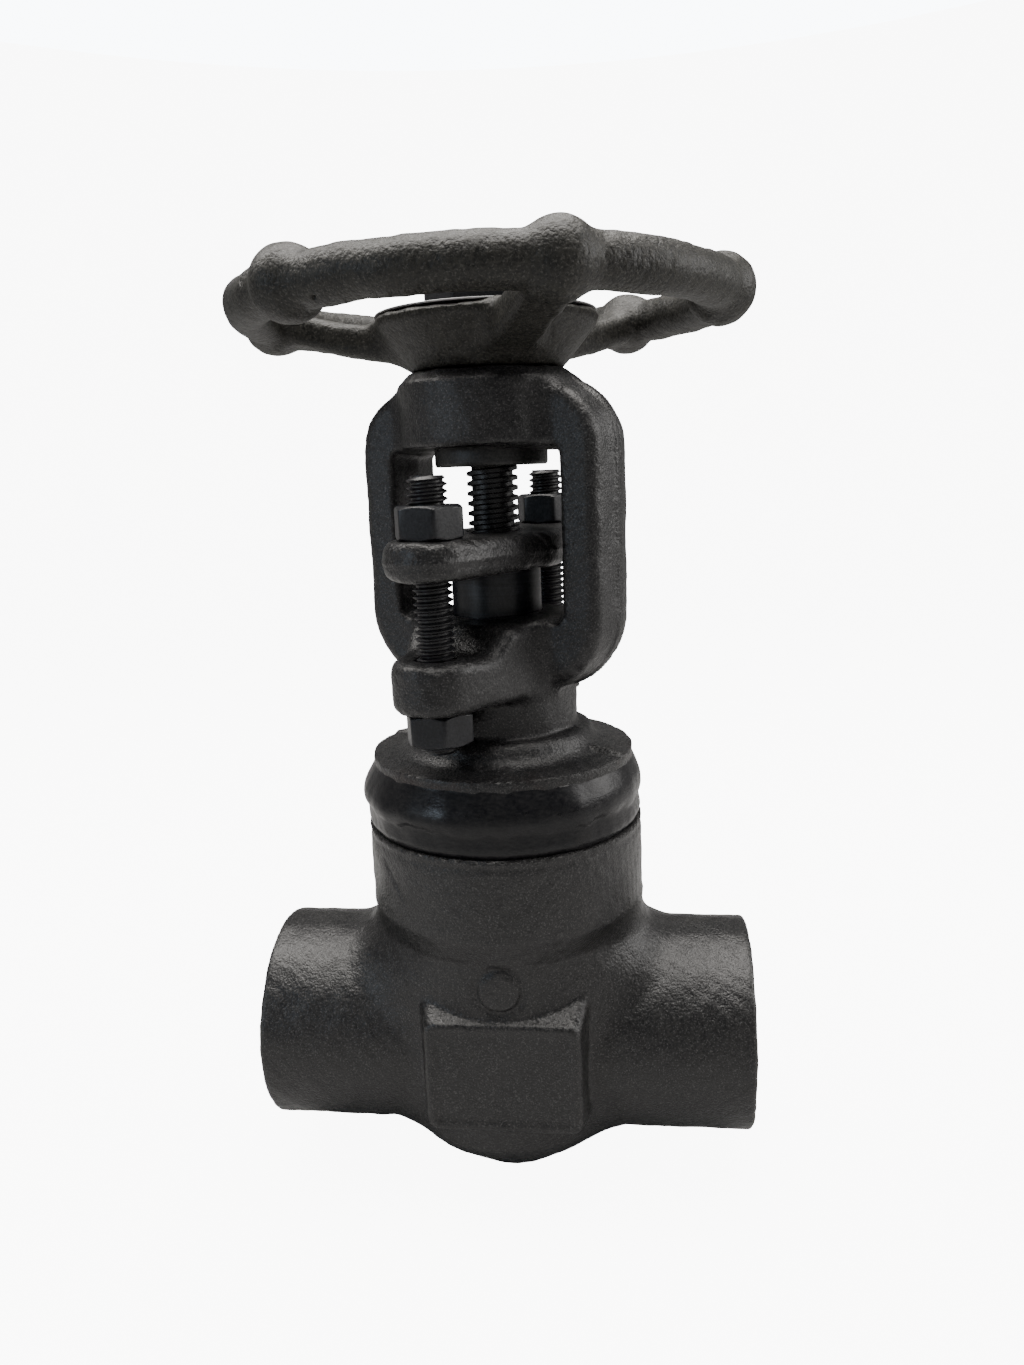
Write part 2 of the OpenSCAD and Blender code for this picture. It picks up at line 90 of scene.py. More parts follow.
@dataclass
class Skin:
    """A mesh before it is put in the scene: corner places in millimetres and faces of four corners."""

    places: Array
    faces: Array

    def turned(self, degrees: float) -> Skin:
        """The skin turned about Z: x' = x cos t - y sin t, y' = x sin t + y cos t."""
        c, s = math.cos(math.radians(degrees)), math.sin(math.radians(degrees))
        return Skin(self.places @ np.array([[c, s, 0], [-s, c, 0], [0, 0, 1]]), self.faces)

    def moved(self, x: float, y: float, z: float) -> Skin:
        """The skin moved by x, y, z."""
        return Skin(self.places + np.array([x, y, z]), self.faces)

    def with_skin(self, other: Skin) -> Skin:
        """Both skins as one mesh, corner numbers of the second raised by the first's count."""
        return Skin(
            np.vstack([self.places, other.places]),
            np.vstack([self.faces, other.faces + len(self.places)]),
        )

    def outward(self) -> Skin:
        """The skin with its faces turned so that they point out.

        The volume enclosed is a sixth of the sum of the corner triangles' box products; where it is
        negative, each face's corners are taken in the other order.

        Returns:
            The same skin, or a copy with every face turned over.
        """
        a, b, c, d = (self.places[self.faces[:, k]] for k in range(4))
        volume = np.einsum("ij,ij->", a, np.cross(b, c)) + np.einsum("ij,ij->", a, np.cross(c, d))
        return self if volume > 0 else Skin(self.places, self.faces[:, ::-1])


def grid_faces(rows: int, columns: int, ring_rows: bool = False, ring_columns: bool = True) -> Array:
    """Faces of a grid of places stored row after row.

    Args:
        rows: Number of rows of places.
        columns: Number of places in a row.
        ring_rows: Whether the last row joins the first.
        ring_columns: Whether the last place of a row joins its first.

    Returns:
        One row of four corner numbers for each face.
    """
    i = np.arange(rows if ring_rows else rows - 1)[:, None]
    j = np.arange(columns if ring_columns else columns - 1)[None, :]
    i2, j2 = (i + 1) % rows, (j + 1) % columns
    corners = [i * columns + j, i * columns + j2, i2 * columns + j2, i2 * columns + j]
    return np.stack([c.ravel() for c in np.broadcast_arrays(*corners)], axis=1)


def put_piece(
    name: str,
    skin: Skin,
    finish: Finish,
    body: str,
    stands_for: tuple[str, ...] = (),
    crease: float = 38.0,
) -> bpy.types.Object:
    """Puts a skin in the scene as a finished piece of the valve.

    Args:
        name: The piece's name.
        skin: Its mesh in millimetres.
        finish: Its surface.
        body: The CAD body that it moves with.
        stands_for: The CAD nodes that it is shown instead of.
        crease: The angle in degrees above which an edge is drawn sharp.

    Returns:
        The new object, at the origin, with its place in its mesh.
    """
    skin = skin.outward()
    mesh = bpy.data.meshes.new(name)
    mesh.vertices.add(len(skin.places))
    mesh.vertices.foreach_set("co", (skin.places * MM).astype(np.float32).ravel())
    mesh.loops.add(skin.faces.size)
    mesh.loops.foreach_set("vertex_index", skin.faces.astype(np.int32).ravel())
    mesh.polygons.add(len(skin.faces))
    mesh.polygons.foreach_set("loop_start", np.arange(len(skin.faces), dtype=np.int32) * 4)
    mesh.update(calc_edges=True)
    weld = bmesh.new()
    weld.from_mesh(mesh)
    bmesh.ops.remove_doubles(weld, verts=weld.verts, dist=1e-7)
    bmesh.ops.dissolve_degenerate(weld, edges=weld.edges, dist=1e-7)
    weld.to_mesh(mesh)
    weld.free()
    mesh.shade_smooth()
    mesh.set_sharp_from_angle(angle=math.radians(crease))
    piece = bpy.data.objects.new(name, mesh)
    bpy.context.scene.collection.objects.link(piece)
    mesh.materials.append(finish.material())
    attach(piece, body)
    if stands_for:
        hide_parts(*stands_for)
    LOG.info("%s: %d faces on %s", name, len(mesh.polygons), body)
    return piece


# ---------- forms of the forgings and the casting ----------


def soft_min(a: Array, b: Array, width: float) -> Array:
    """The smaller of a and b, less h*h / (4 width) where h = width - |a - b| is over 0: a rounded corner."""
    if width <= 0:
        return np.minimum(a, b)
    h = np.maximum(width - np.abs(a - b), 0)
    return np.minimum(a, b) - h * h / (4 * width)


def polygon_distance(u: Array, v: Array, corners: Array) -> Array:
    """Signed distance to a polygon in a plane, negative inside.

    The distance is the least of those to the sides, each taken at the foot of the perpendicular held
    within the side; the sign turns at each side that a ray from the point crosses.

    Args:
        u: First coordinate of the points.
        v: Second coordinate of the points.
        corners: The polygon's corners, one a row.

    Returns:
        The distance of each point.
    """
    nearest = np.full(u.shape, np.inf)
    sign = np.ones(u.shape)
    for (au, av), (bu, bv) in zip(corners, np.roll(corners, -1, axis=0)):
        eu, ev, wu, wv = bu - au, bv - av, u - au, v - av
        foot = np.clip((wu * eu + wv * ev) / (eu * eu + ev * ev), 0, 1)
        nearest = np.minimum(nearest, (wu - eu * foot) ** 2 + (wv - ev * foot) ** 2)
        above, below, left = v >= av, v < bv, eu * wv > ev * wu
        sign = np.where((above & below & left) | ~(above | below | left), -sign, sign)
    return sign * np.sqrt(nearest)


PAST_AXIS = -12.0


def inset(profile: Profile, edge: float) -> Array:
    """The profile with each side moved inwards by edge, so that growing it again rounds its corners.

    Each new corner solves n1.p = n1.c - edge and n2.p = n2.c - edge for the outward normals n1 and n2 of
    the two sides that meet in corner c. A corner on the axis is carried past it, so the axis is no side.

    Args:
        profile: Corners as (radius, height), anticlockwise.
        edge: How far the sides move.

    Returns:
        The new corners, one a row.
    """
    c = np.array(profile, float)
    axis = c[:, 0] == 0
    c[axis, 0] = PAST_AXIS
    side = np.roll(c, -1, axis=0) - c
    normal = np.stack([side[:, 1], -side[:, 0]], axis=1) / np.linalg.norm(side, axis=1)[:, None]
    before = np.roll(normal, 1, axis=0)
    turn = before[:, 0] * normal[:, 1] - before[:, 1] * normal[:, 0]
    reach1, reach2 = (before * c).sum(1) - edge, (normal * c).sum(1) - edge
    flat = np.abs(turn) < 1e-3
    turn = np.where(flat, 1, turn)
    across = (reach1 * normal[:, 1] - reach2 * before[:, 1]) / turn
    height = (before[:, 0] * reach2 - normal[:, 0] * reach1) / turn
    new = np.stack([across, height], axis=1)
    return np.where(flat[:, None], c - edge * normal, new)


@dataclass(frozen=True)
class Form:
    """A solid given by a signed distance in millimetres, negative inside."""

    distance: Distance

    def join(self, other: Form, fillet: float | Distance = 0.0) -> Form:
        """Both solids, with a round fillet: max(r, min(a, b)) - |(max(r - a, 0), max(r - b, 0))|.

        Args:
            other: The second solid.
            fillet: The fillet's radius r, or a function that gives it from place to place.

        Returns:
            The joined solid.
        """

        def joined(x: Array, y: Array, z: Array) -> Array:
            """The joined distance."""
            a, b = self.distance(x, y, z), other.distance(x, y, z)
            r = fillet(x, y, z) if callable(fillet) else fillet
            return np.maximum(r, np.minimum(a, b)) - np.hypot(np.maximum(r - a, 0), np.maximum(r - b, 0))

        return Form(joined)

    def cut(self, other: Form, edge: float = 0.0) -> Form:
        """The solid less another, with the new edge rounded over a width of edge."""
        return Form(lambda x, y, z: -soft_min(-self.distance(x, y, z), other.distance(x, y, z), edge))

    def moved(self, dx: float, dy: float, dz: float) -> Form:
        """The solid moved by dx, dy, dz."""
        return Form(lambda x, y, z: self.distance(x - dx, y - dy, z - dz))

    def mirrored_y(self) -> Form:
        """The solid at +Y and its mirror image at -Y."""
        return Form(lambda x, y, z: self.distance(x, np.abs(y), z))

    def hammered(self, size: float, depth: float, seed: int, waves: int = 9) -> Form:
        """The solid with an uneven skin.

        The distance gains depth times the mean of several sines, each along its own seeded direction,
        with a wave length near size.

        Args:
            size: The usual wave length.
            depth: How deep the unevenness goes.
            seed: Which pattern.
            waves: Number of sines.

        Returns:
            The uneven solid.
        """
        draw = np.random.default_rng(seed)
        way = draw.normal(size=(waves, 3))
        way *= (2 * np.pi / size * draw.uniform(0.7, 1.5, waves) / np.linalg.norm(way, axis=1))[:, None]
        start = draw.uniform(0, 2 * np.pi, waves)
        share = depth * 1.6 / math.sqrt(waves)

        def uneven(x: Array, y: Array, z: Array) -> Array:
            """The distance with the sines added."""
            added = sum(np.sin(w[0] * x + w[1] * y + w[2] * z + s) for w, s in zip(way, start))
            return self.distance(x, y, z) + share * added

        return Form(uneven)


def drum(radius: float, low: float, high: float, edge: float = 0.0) -> Form:
    """An upright cylinder with rounded rims: the distance to a rectangle in (radius, height), less edge."""

    def distance(x: Array, y: Array, z: Array) -> Array:
        """The drum's distance."""
        u = np.hypot(x, y) - (radius - edge)
        v = np.abs(z - (low + high) / 2) - ((high - low) / 2 - edge)
        return rounded_box([u, v], edge)

    return Form(distance)


def bar(radius: float, low: float, high: float, edge: float = 0.0) -> Form:
    """A cylinder along X from low to high, with its rims rounded by edge."""
    upright = drum(radius, low, high, edge)
    return Form(lambda x, y, z: upright.distance(z, y, x))


def rod(start: Point, end: Point, radius: float) -> Form:
    """A round-ended rod: the distance to the nearest point of the line from start to end, less its radius."""
    a, e = np.array(start), np.array(end) - np.array(start)

    def distance(x: Array, y: Array, z: Array) -> Array:
        """The rod's distance."""
        away = (x - a[0], y - a[1], z - a[2])
        t = np.clip(sum(w * k for w, k in zip(away, e)) / (e @ e), 0, 1)
        return np.sqrt(sum((w - k * t) ** 2 for w, k in zip(away, e))) - radius

    return Form(distance)


def turned_form(profile: Profile, edge: float) -> Form:
    """A profile of (radius, height) turned about Z, with its outer corners rounded by edge."""
    corners = inset(profile, edge)
    return Form(lambda x, y, z: polygon_distance(np.hypot(x, y), z, corners) - edge)


def rounded_box(offsets: list[Array], edge: float) -> Array:
    """Distance to a box in two or three directions, from q = |p - centre| - half + edge in each direction.

    It is |max(q, 0)| + min(max(q), 0) - edge.

    Args:
        offsets: q in each direction.
        edge: The radius of the box's edges.

    Returns:
        The signed distance.
    """
    greatest = offsets[0]
    for q in offsets[1:]:
        greatest = np.maximum(greatest, q)
    return np.sqrt(sum(np.maximum(q, 0) ** 2 for q in offsets)) + np.minimum(greatest, 0) - edge


def block(centre: Point, half: Point, edge: float) -> Form:
    """A block with all its edges rounded."""

    def distance(x: Array, y: Array, z: Array) -> Array:
        """The block's distance."""
        return rounded_box([np.abs(p - c) - h + edge for p, c, h in zip((x, y, z), centre, half)], edge)

    return Form(distance)


def two_ended_plan(x: Array, y: Array, middle: float, end: float, reach: float) -> Array:
    """Distance to a plan with a round middle and a smaller round end at y = reach and y = -reach.

    The sides are the tangents of the two circles: past the tangent's feet the distance is the one to a
    circle, and between them it is the one to the tangent.

    Args:
        x: Places across the plan.
        y: Places along it.
        middle: Radius of the middle.
        end: Radius of each end.
        reach: Distance of the end's centre from the middle.

    Returns:
        The signed distance in the plane.
    """
    u, v = np.abs(x), np.abs(y)
    slope = (middle - end) / reach
    rise = math.sqrt(1 - slope * slope)
    along = -slope * u + rise * v
    return np.where(
        along < 0,
        np.hypot(u, v) - middle,
        np.where(along > rise * reach, np.hypot(u, v - reach) - end, rise * u + slope * v - middle),
    )


@dataclass(frozen=True)
class SkinMaker:
    """Skins a form with near-square faces that follow its zero surface.

    The distance is sampled on a grid, first at one point in sixty-four and then at every point near the
    surface. Each cell that the surface passes through gets one corner, the mean of the places where its
    sides cross zero, and each grid line that crosses zero gets one face from the four cells round it.
    The corners are then evened out and brought onto the surface by Newton's rule, p - d(p) g / |g|^2,
    where g is the slope of the distance d.
    """

    form: Form
    low: Point
    high: Point
    step: float

    def samples(self) -> tuple[Array, Array]:
        """The sampled distance.

        Returns:
            The distances on the grid, and the grid's first point.
        """
        step = self.step * 1.0
        low = np.array(self.low, float)
        blocks = np.ceil((np.array(self.high) - low) / (4 * step)).astype(int)
        centres = [low[k] + step * (4 * np.arange(blocks[k]) + 1.5) for k in range(3)]
        coarse = self.form.distance(*np.meshgrid(*centres, indexing="ij"))
        fine = coarse.repeat(4, 0).repeat(4, 1).repeat(4, 2)
        near = np.argwhere(np.abs(coarse) < 5.2 * step)
        inner = np.stack(np.meshgrid(*[np.arange(4)] * 3, indexing="ij"), -1).reshape(-1, 3)
        index = (near[:, None, :] * 4 + inner[None]).reshape(-1, 3)
        points = low + step * index
        fine[tuple(index.T)] = self.form.distance(*points.T)
        return fine, low, step

    def on_surface(self, places: Array, turns: int, step: float) -> Array:
        """The places brought onto the zero surface by Newton's rule, at most half a step a turn."""
        small = 0.02
        for _ in range(turns):
            x, y, z = places.T
            value = self.form.distance(x, y, z)
            slope = np.stack(
                [
                    self.form.distance(x + small, y, z) - self.form.distance(x - small, y, z),
                    self.form.distance(x, y + small, z) - self.form.distance(x, y - small, z),
                    self.form.distance(x, y, z + small) - self.form.distance(x, y, z - small),
                ],
                axis=1,
            ) / (2 * small)
            move = value[:, None] * slope / np.maximum((slope**2).sum(1), 0.25)[:, None]
            length = np.linalg.norm(move, axis=1)[:, None]
            places = places - move * np.minimum(1, 0.5 * step / np.maximum(length, 1e-9))
        return places

    def skin(self) -> Skin:
        """The form's skin.

        Returns:
            A closed skin whose corners lie on the zero surface.
        """
        values, low, step = self.samples()
        inside = values < 0
        shape = np.array(values.shape) - 1
        corner = np.stack(np.meshgrid([0, 1], [0, 1], [0, 1], indexing="ij"), -1).reshape(-1, 3)
        cut = [inside[tuple(slice(c[k], c[k] + shape[k]) for k in range(3))] for c in corner]
        count = sum(c.astype(np.int8) for c in cut)
        crossed = (count > 0) & (count < 8)
        cells = np.argwhere(crossed)
        number = np.full(shape, -1)
        number[crossed] = np.arange(len(cells))
        at = [values[tuple((cells + c).T)] for c in corner]
        total, sides = np.zeros((len(cells), 3)), np.zeros(len(cells))
        for a in range(8):
            for b in range(a + 1, 8):
                if abs(corner[a] - corner[b]).sum() == 1:
                    apart = (at[a] < 0) != (at[b] < 0)
                    share = np.where(apart, at[a] / np.where(apart, at[a] - at[b], 1), 0)
                    place = corner[a] + share[:, None] * (corner[b] - corner[a])
                    total += np.where(apart[:, None], place, 0)
                    sides += apart
        places = low + step * (cells + total / sides[:, None])
        faces = []
        for axis in range(3):
            u, v = np.eye(3, dtype=int)[(axis + 1) % 3], np.eye(3, dtype=int)[(axis + 2) % 3]
            first = inside[tuple(slice(0, -1) if k == axis else slice(1, -1) for k in range(3))]
            second = inside[tuple(slice(1, None) if k == axis else slice(1, -1) for k in range(3))]
            line = np.argwhere(first != second)
            leaves = first[tuple(line.T)]
            line = line + 1
            line[:, axis] -= 1
            ring = np.stack([number[tuple((line - o).T)] for o in (0 * u, u, u + v, v)], axis=1)
            faces.append(np.where(leaves[:, None], ring, ring[:, ::-1]))
        quads = np.vstack(faces)
        pairs = np.vstack([quads[:, [k, (k + 1) % 4]] for k in range(4)])
        degree = np.bincount(pairs.ravel(), minlength=len(places))
        for _ in range(2):
            mean = np.stack(
                [
                    np.bincount(pairs[:, 0], places[pairs[:, 1], k], len(places))
                    + np.bincount(pairs[:, 1], places[pairs[:, 0], k], len(places))
                    for k in range(3)
                ],
                axis=1,
            ) / degree[:, None]
            places = self.on_surface(0.4 * places + 0.6 * mean, 1, step)
        return Skin(self.on_surface(places, 2, step), quads)


# ---------- grids ----------


def softened(profile: Profile, radius: float, steps: int = 3) -> Array:
    """The profile with each corner replaced by a short curve.

    A corner c between points p and q at radius from it becomes (1-t)^2 p + 2t(1-t) c + t^2 q.

    Args:
        profile: Corners as (radius, height) round a closed section.
        radius: How far from the corner the curve starts and ends.
        steps: Number of pieces in each curve.

    Returns:
        The new points, one a row.
    """
    c = np.array(profile, float)
    back, on = np.roll(c, 1, axis=0) - c, np.roll(c, -1, axis=0) - c
    p = c + back * np.minimum(radius / np.linalg.norm(back, axis=1), 0.45)[:, None]
    q = c + on * np.minimum(radius / np.linalg.norm(on, axis=1), 0.45)[:, None]
    t = np.linspace(0, 1, steps + 1)[None, :, None]
    curve = (1 - t) ** 2 * p[:, None] + 2 * t * (1 - t) * c[:, None] + t**2 * q[:, None]
    return curve.reshape(-1, 2)


def lathe(section: Array, columns: int = 128) -> Skin:
    """A closed section turned about Z: place(s, a) = (r(s) cos a, r(s) sin a, z(s)).

    Args:
        section: Points (radius, height) round the section; it joins up with its first point.
        columns: Number of places round the axis.

    Returns:
        The ring, or the solid where the section touches the axis.
    """
    a = np.linspace(0, 2 * np.pi, columns, endpoint=False)
    r, z = section[:, :1], section[:, 1:]
    places = np.stack([r * np.cos(a), r * np.sin(a), z + 0 * a], axis=-1).reshape(-1, 3)
    return Skin(places, grid_faces(len(section), columns, ring_rows=True))


@dataclass(frozen=True)
class Thread:
    """A screw thread: its outside radius, pitch and depth, and where in one pitch its section turns."""

    radius: float
    pitch: float
    depth: float
    turns_at: tuple[float, float, float] = (0.14, 0.44, 0.70)

    def rod(self, low: float, high: float, tip: float, columns: int = 44) -> Skin:
        """A threaded rod from low to high.

        Row k follows one line of the section up the screw: place(k, a) has the height
        low + pitch (turn(k) + a / 2 pi) held between low and high, and the section's radius there. Near an
        end the radius stays under a cone of 45 degrees, so the rows past the end meet in its rim.

        Args:
            low: Height of the lower end.
            high: Height of the upper end.
            tip: How much less than the outside the radius of each end is.
            columns: Number of places round the rod.

        Returns:
            The closed rod.
        """
        inner = self.radius - self.depth
        crest, root, rise = self.turns_at
        phase = np.array([0.0, crest / 2, crest, (crest + root) / 2, root, rise, (rise + 1) / 2])
        radius = np.array([1.0, 1.0, 1.0, 0.5, 0.0, 0.0, 0.5]) * self.depth + inner
        turns = np.arange(-1, math.ceil((high - low) / self.pitch) + 1)
        level = (turns[:, None] + phase[None]).reshape(-1, 1) * self.pitch
        a = np.linspace(0, 2 * np.pi, columns + 1)
        z = np.clip(low + level + self.pitch * a / (2 * np.pi), low, high)
        r = np.tile(radius, len(turns))[:, None] + 0 * z
        cone = self.radius - tip + np.minimum(z - low, high - z)
        r = np.minimum(r, cone)
        zero = np.zeros((1, columns + 1))
        r = np.vstack([zero, r, zero])
        z = np.vstack([zero + low, z, zero + high])
        places = np.stack([r * np.cos(a), r * np.sin(a), z], axis=-1).reshape(-1, 3)
        return Skin(places, grid_faces(len(r), columns + 1, ring_columns=False))


@dataclass(frozen=True)
class HexNut:
    """A hexagon nut: width across flats, height and bore radius."""

    flats: float
    height: float
    bore: float

    def skin(self) -> Skin:
        """The nut, standing on z = 0.

        The outer wall is the smaller of the hexagon, flats / 2 / cos(angle from the middle of the flat),
        a circle that takes the sharpness off its corners, and a cone of 30 degrees at each end.

        Returns:
            A closed ring of places over the angle and the way round the nut's section.
        """
        flat = self.flats / 2
        corner = flat / math.cos(math.radians(30))
        face = 0.95 * flat
        bevel = (corner - face) * math.tan(math.radians(30))
        within = np.array([-30, -29.2, -28, -25, -18, -9, 0, 9, 18, 25, 28, 29.2])
        angle = np.radians((np.arange(6)[:, None] * 60 + within[None]).ravel())
        off = np.radians(np.tile(within, 6))
        hexagon = soft_min(flat / np.cos(off), np.full(off.shape, corner - 0.12), 0.2)
        rise = np.concatenate([np.linspace(0, bevel, 7), self.height - np.linspace(bevel, 0, 7)])[:, None]
        cone = face + np.minimum(rise, self.height - rise) * (corner - face) / bevel
        outer = np.minimum(hexagon[None], cone)
        bore = np.array([self.bore, self.bore + 0.5, self.bore + 0.5, self.bore])[:, None] + 0 * off
        level = np.array([0.5, 0.0, self.height, self.height - 0.5])[:, None] + 0 * off
        r = np.vstack([bore[:2], outer, bore[2:]])
        z = np.vstack([level[:2], rise + 0 * off, level[2:]])
        places = np.stack([r * np.cos(angle), r * np.sin(angle), z], axis=-1).reshape(-1, 3)
        return Skin(places, grid_faces(len(r), len(angle), ring_rows=True))


# ---------- finishes ----------


class Grain(Enum):
    """How a surface was left: the size of its grain in millimetres, how deep it shows, and how it lies."""

    SHOT_BLASTED = (0.55, 0.62, (1.0, 1.0, 1.0))
    SAND_CAST = (0.75, 0.60, (1.0, 1.0, 1.0))
    WELDED = (1.1, 0.10, (1.0, 1.0, 2.0))
    TURNED = (0.35, 0.12, (0.06, 0.06, 1.0))
    SMOOTH = (0.5, 0.12, (1.0, 1.0, 1.0))
    PRESSED = (0.6, 0.35, (1.0, 1.0, 1.0))


@dataclass(frozen=True)
class Finish:
    """A metal surface: two tones that run into each other, gloss, grain, specks of painted glint and heat tint.
    """

    name: str
    dark: Colour
    light: Colour
    rough: tuple[float, float]
    grain: Grain
    metallic: float = 0.0
    specular: float = 0.5
    patch: float = 9.0
    painted_glint: float = 0.0
    tint: Colour | None = None
    tint_band: tuple[float, float] = (0.0, 0.0)

    def material(self) -> bpy.types.Material:
        """The finish as a node material, made once and shared.

        Returns:
            The material.
        """
        found = bpy.data.materials.get(self.name)
        if found:
            return found
        material = bpy.data.materials.new(self.name)
        material.use_nodes = True
        self.wire(NodeBench(material.node_tree))
        return material

    def wire(self, bench: NodeBench) -> None:
        """Wires the finish: tones and gloss from patches, relief from grain and patches.

        Args:
            bench: The material's nodes.
        """
        size, depth, lie = self.grain.value
        place = bench.add("ShaderNodeTexCoord").outputs["Object"]
        laid = bench.scaled(place, lie)
        patches = bench.noise(place, self.patch, 4.0, 0.6)
        grain = bench.noise(laid, size, 2.0, 0.55)
        coarse = bench.noise(laid, size * 3.2, 3.0, 0.6)
        mixed = bench.math("ADD", bench.math("MULTIPLY", patches, 0.35), bench.math("MULTIPLY", grain, 0.65))
        colour = bench.ramp(mixed, [(0.40, self.dark), (0.62, self.light)])
        # Painted glints: a few bright specks in the base colour stand in for the sparkle of light off the
        # blasted grain.
        if self.painted_glint > 0:
            fine = bench.noise(place, size * 0.6, 1.0, 0.6, shift=7.0)
            painted_glint_mask = bench.ramp(fine, [(0.56, (0, 0, 0)), (0.72, (1, 1, 1))])
            painted_glint_colour = tuple(min(1.0, c * 1.3 + self.painted_glint) for c in self.light)
            colour = bench.mix(painted_glint_mask, colour, painted_glint_colour)
        if self.tint:
            colour = bench.mix(self.tint_mask(bench, place), colour, self.tint)
        shader = bench.shader
        bench.link(colour, shader.inputs["Base Color"])
        bench.link(bench.spread(mixed, (0.3, 0.7), self.rough), shader.inputs["Roughness"])
        shader.inputs["Metallic"].default_value = self.metallic
        shader.inputs["Specular IOR Level"].default_value = self.specular
        relief = bench.bump(coarse, depth, size * 0.45 * MM)
        bench.link(bench.bump(grain, depth, size * 0.55 * MM, relief), shader.inputs["Normal"])

    def tint_mask(self, bench: NodeBench, place: bpy.types.NodeSocket) -> bpy.types.NodeSocket:
        """Where the heat of welding coloured the metal: a band of heights, broken up by noise.

        Args:
            bench: The material's nodes.
            place: The place on the piece.

        Returns:
            A factor from nothing to about a half.
        """
        height = bench.separate(place, "Z")
        low, high = (k * MM for k in self.tint_band)
        middle, half = (low + high) / 2, (high - low) / 2
        off = bench.math("ABSOLUTE", bench.math("SUBTRACT", height, middle))
        band = bench.spread(off, (0.0, half), (1.0, 0.0))
        broken = bench.spread(bench.noise(place, 8.0, 3.0, 0.6, shift=3.0), (0.50, 0.68), (0.0, 0.75))
        return bench.math("MULTIPLY", band, broken)


class NodeBench:
    """A material's nodes, with short ways to add the ones that the finishes use."""

    def __init__(self, tree: bpy.types.NodeTree) -> None:
        """Keeps the tree and its shader."""
        self.tree = tree
        self.shader = next(n for n in tree.nodes if n.type == "BSDF_PRINCIPLED")

    def add(self, kind: str) -> bpy.types.Node:
        """A new node of that kind."""
        return self.tree.nodes.new(kind)

    def link(self, source: bpy.types.NodeSocket, target: bpy.types.NodeSocket) -> None:
        """Joins two sockets."""
        self.tree.links.new(source, target)

    def put(self, source: bpy.types.NodeSocket | float, target: bpy.types.NodeSocket) -> None:
        """Links a socket, or sets a number."""
        if isinstance(source, bpy.types.NodeSocket):
            self.link(source, target)
        else:
            target.default_value = source

    def scaled(self, place: bpy.types.NodeSocket, scale: Point) -> bpy.types.NodeSocket:
        """The place with each axis scaled, which draws a pattern out along the axes scaled least."""
        node = self.add("ShaderNodeMapping")
        self.link(place, node.inputs["Vector"])
        node.inputs["Scale"].default_value = scale
        return node.outputs["Vector"]

    def noise(
        self, place: bpy.types.NodeSocket, size: float, detail: float, rough: float, shift: float = 0.0
    ) -> bpy.types.NodeSocket:
        """Noise whose features are about size millimetres across.

        Args:
            place: Where it is read.
            size: Size of its features in millimetres.
            detail: Number of finer layers.
            rough: How strongly the finer layers show.
            shift: Moves the pattern, so that two layers differ.

        Returns:
            The noise, from 0 to 1.
        """
        node = self.add("ShaderNodeTexNoise")
        if shift:
            moved = self.add("ShaderNodeMapping")
            self.link(place, moved.inputs["Vector"])
            moved.inputs["Location"].default_value = (shift, shift, shift)
            place = moved.outputs["Vector"]
        self.link(place, node.inputs["Vector"])
        node.inputs["Scale"].default_value = 1 / (size * MM)
        node.inputs["Detail"].default_value = detail
        node.inputs["Roughness"].default_value = rough
        return node.outputs["Fac"]

    def math(
        self, kind: str, a: bpy.types.NodeSocket | float, b: bpy.types.NodeSocket | float = 0.0
    ) -> bpy.types.NodeSocket:
        """One step of arithmetic."""
        node = self.add("ShaderNodeMath")
        node.operation = kind
        self.put(a, node.inputs[0])
        self.put(b, node.inputs[1])
        return node.outputs[0]

    def spread(
        self, value: bpy.types.NodeSocket, source: tuple[float, float], target: tuple[float, float]
    ) -> bpy.types.NodeSocket:
        """The value carried from one range to another and held within it."""
        node = self.add("ShaderNodeMapRange")
        self.link(value, node.inputs["Value"])
        for key, number in zip(("From Min", "From Max", "To Min", "To Max"), (*source, *target)):
            node.inputs[key].default_value = number
        return node.outputs["Result"]

    def ramp(self, value: bpy.types.NodeSocket, stops: list[tuple[float, Colour]]) -> bpy.types.NodeSocket:
        """A colour ramp with two stops."""
        node = self.add("ShaderNodeValToRGB")
        self.link(value, node.inputs["Fac"])
        for element, (position, colour) in zip(node.color_ramp.elements, stops):
            element.position = position
            element.color = (*colour, 1.0)
        return node.outputs["Color"]

    def mix(
        self, factor: bpy.types.NodeSocket, first: bpy.types.NodeSocket, second: Colour
    ) -> bpy.types.NodeSocket:
        """The first colour, with the second over it by the factor.

        The node's sockets are met by number, because its number, vector and colour sockets share names.

        Args:
            factor: How much of the second colour shows.
            first: The colour underneath.
            second: The colour over it.

        Returns:
            The mixed colour.
        """
        node = self.add("ShaderNodeMix")
        node.data_type = "RGBA"
        self.link(factor, node.inputs["Factor"])
        self.link(first, node.inputs[6])
        node.inputs[7].default_value = (*second, 1.0)
        return node.outputs[2]

    def separate(self, place: bpy.types.NodeSocket, axis: str) -> bpy.types.NodeSocket:
        """One coordinate of a place."""
        node = self.add("ShaderNodeSeparateXYZ")
        self.link(place, node.inputs[0])
        return node.outputs[axis]

    def bump(
        self,
        height: bpy.types.NodeSocket,
        strength: float,
        distance: float,
        under: bpy.types.NodeSocket | None = None,
    ) -> bpy.types.NodeSocket:
        """Relief from a height, over another relief where one is given.

        Args:
            height: The height.
            strength: How much of it shows.
            distance: Its depth in metres.
            under: The relief that it lies on.

        Returns:
            The normal.
        """
        node = self.add("ShaderNodeBump")
        self.link(height, node.inputs["Height"])
        node.inputs["Strength"].default_value = strength
        node.inputs["Distance"].default_value = distance
        if under is not None:
            self.link(under, node.inputs["Normal"])
        return node.outputs["Normal"]


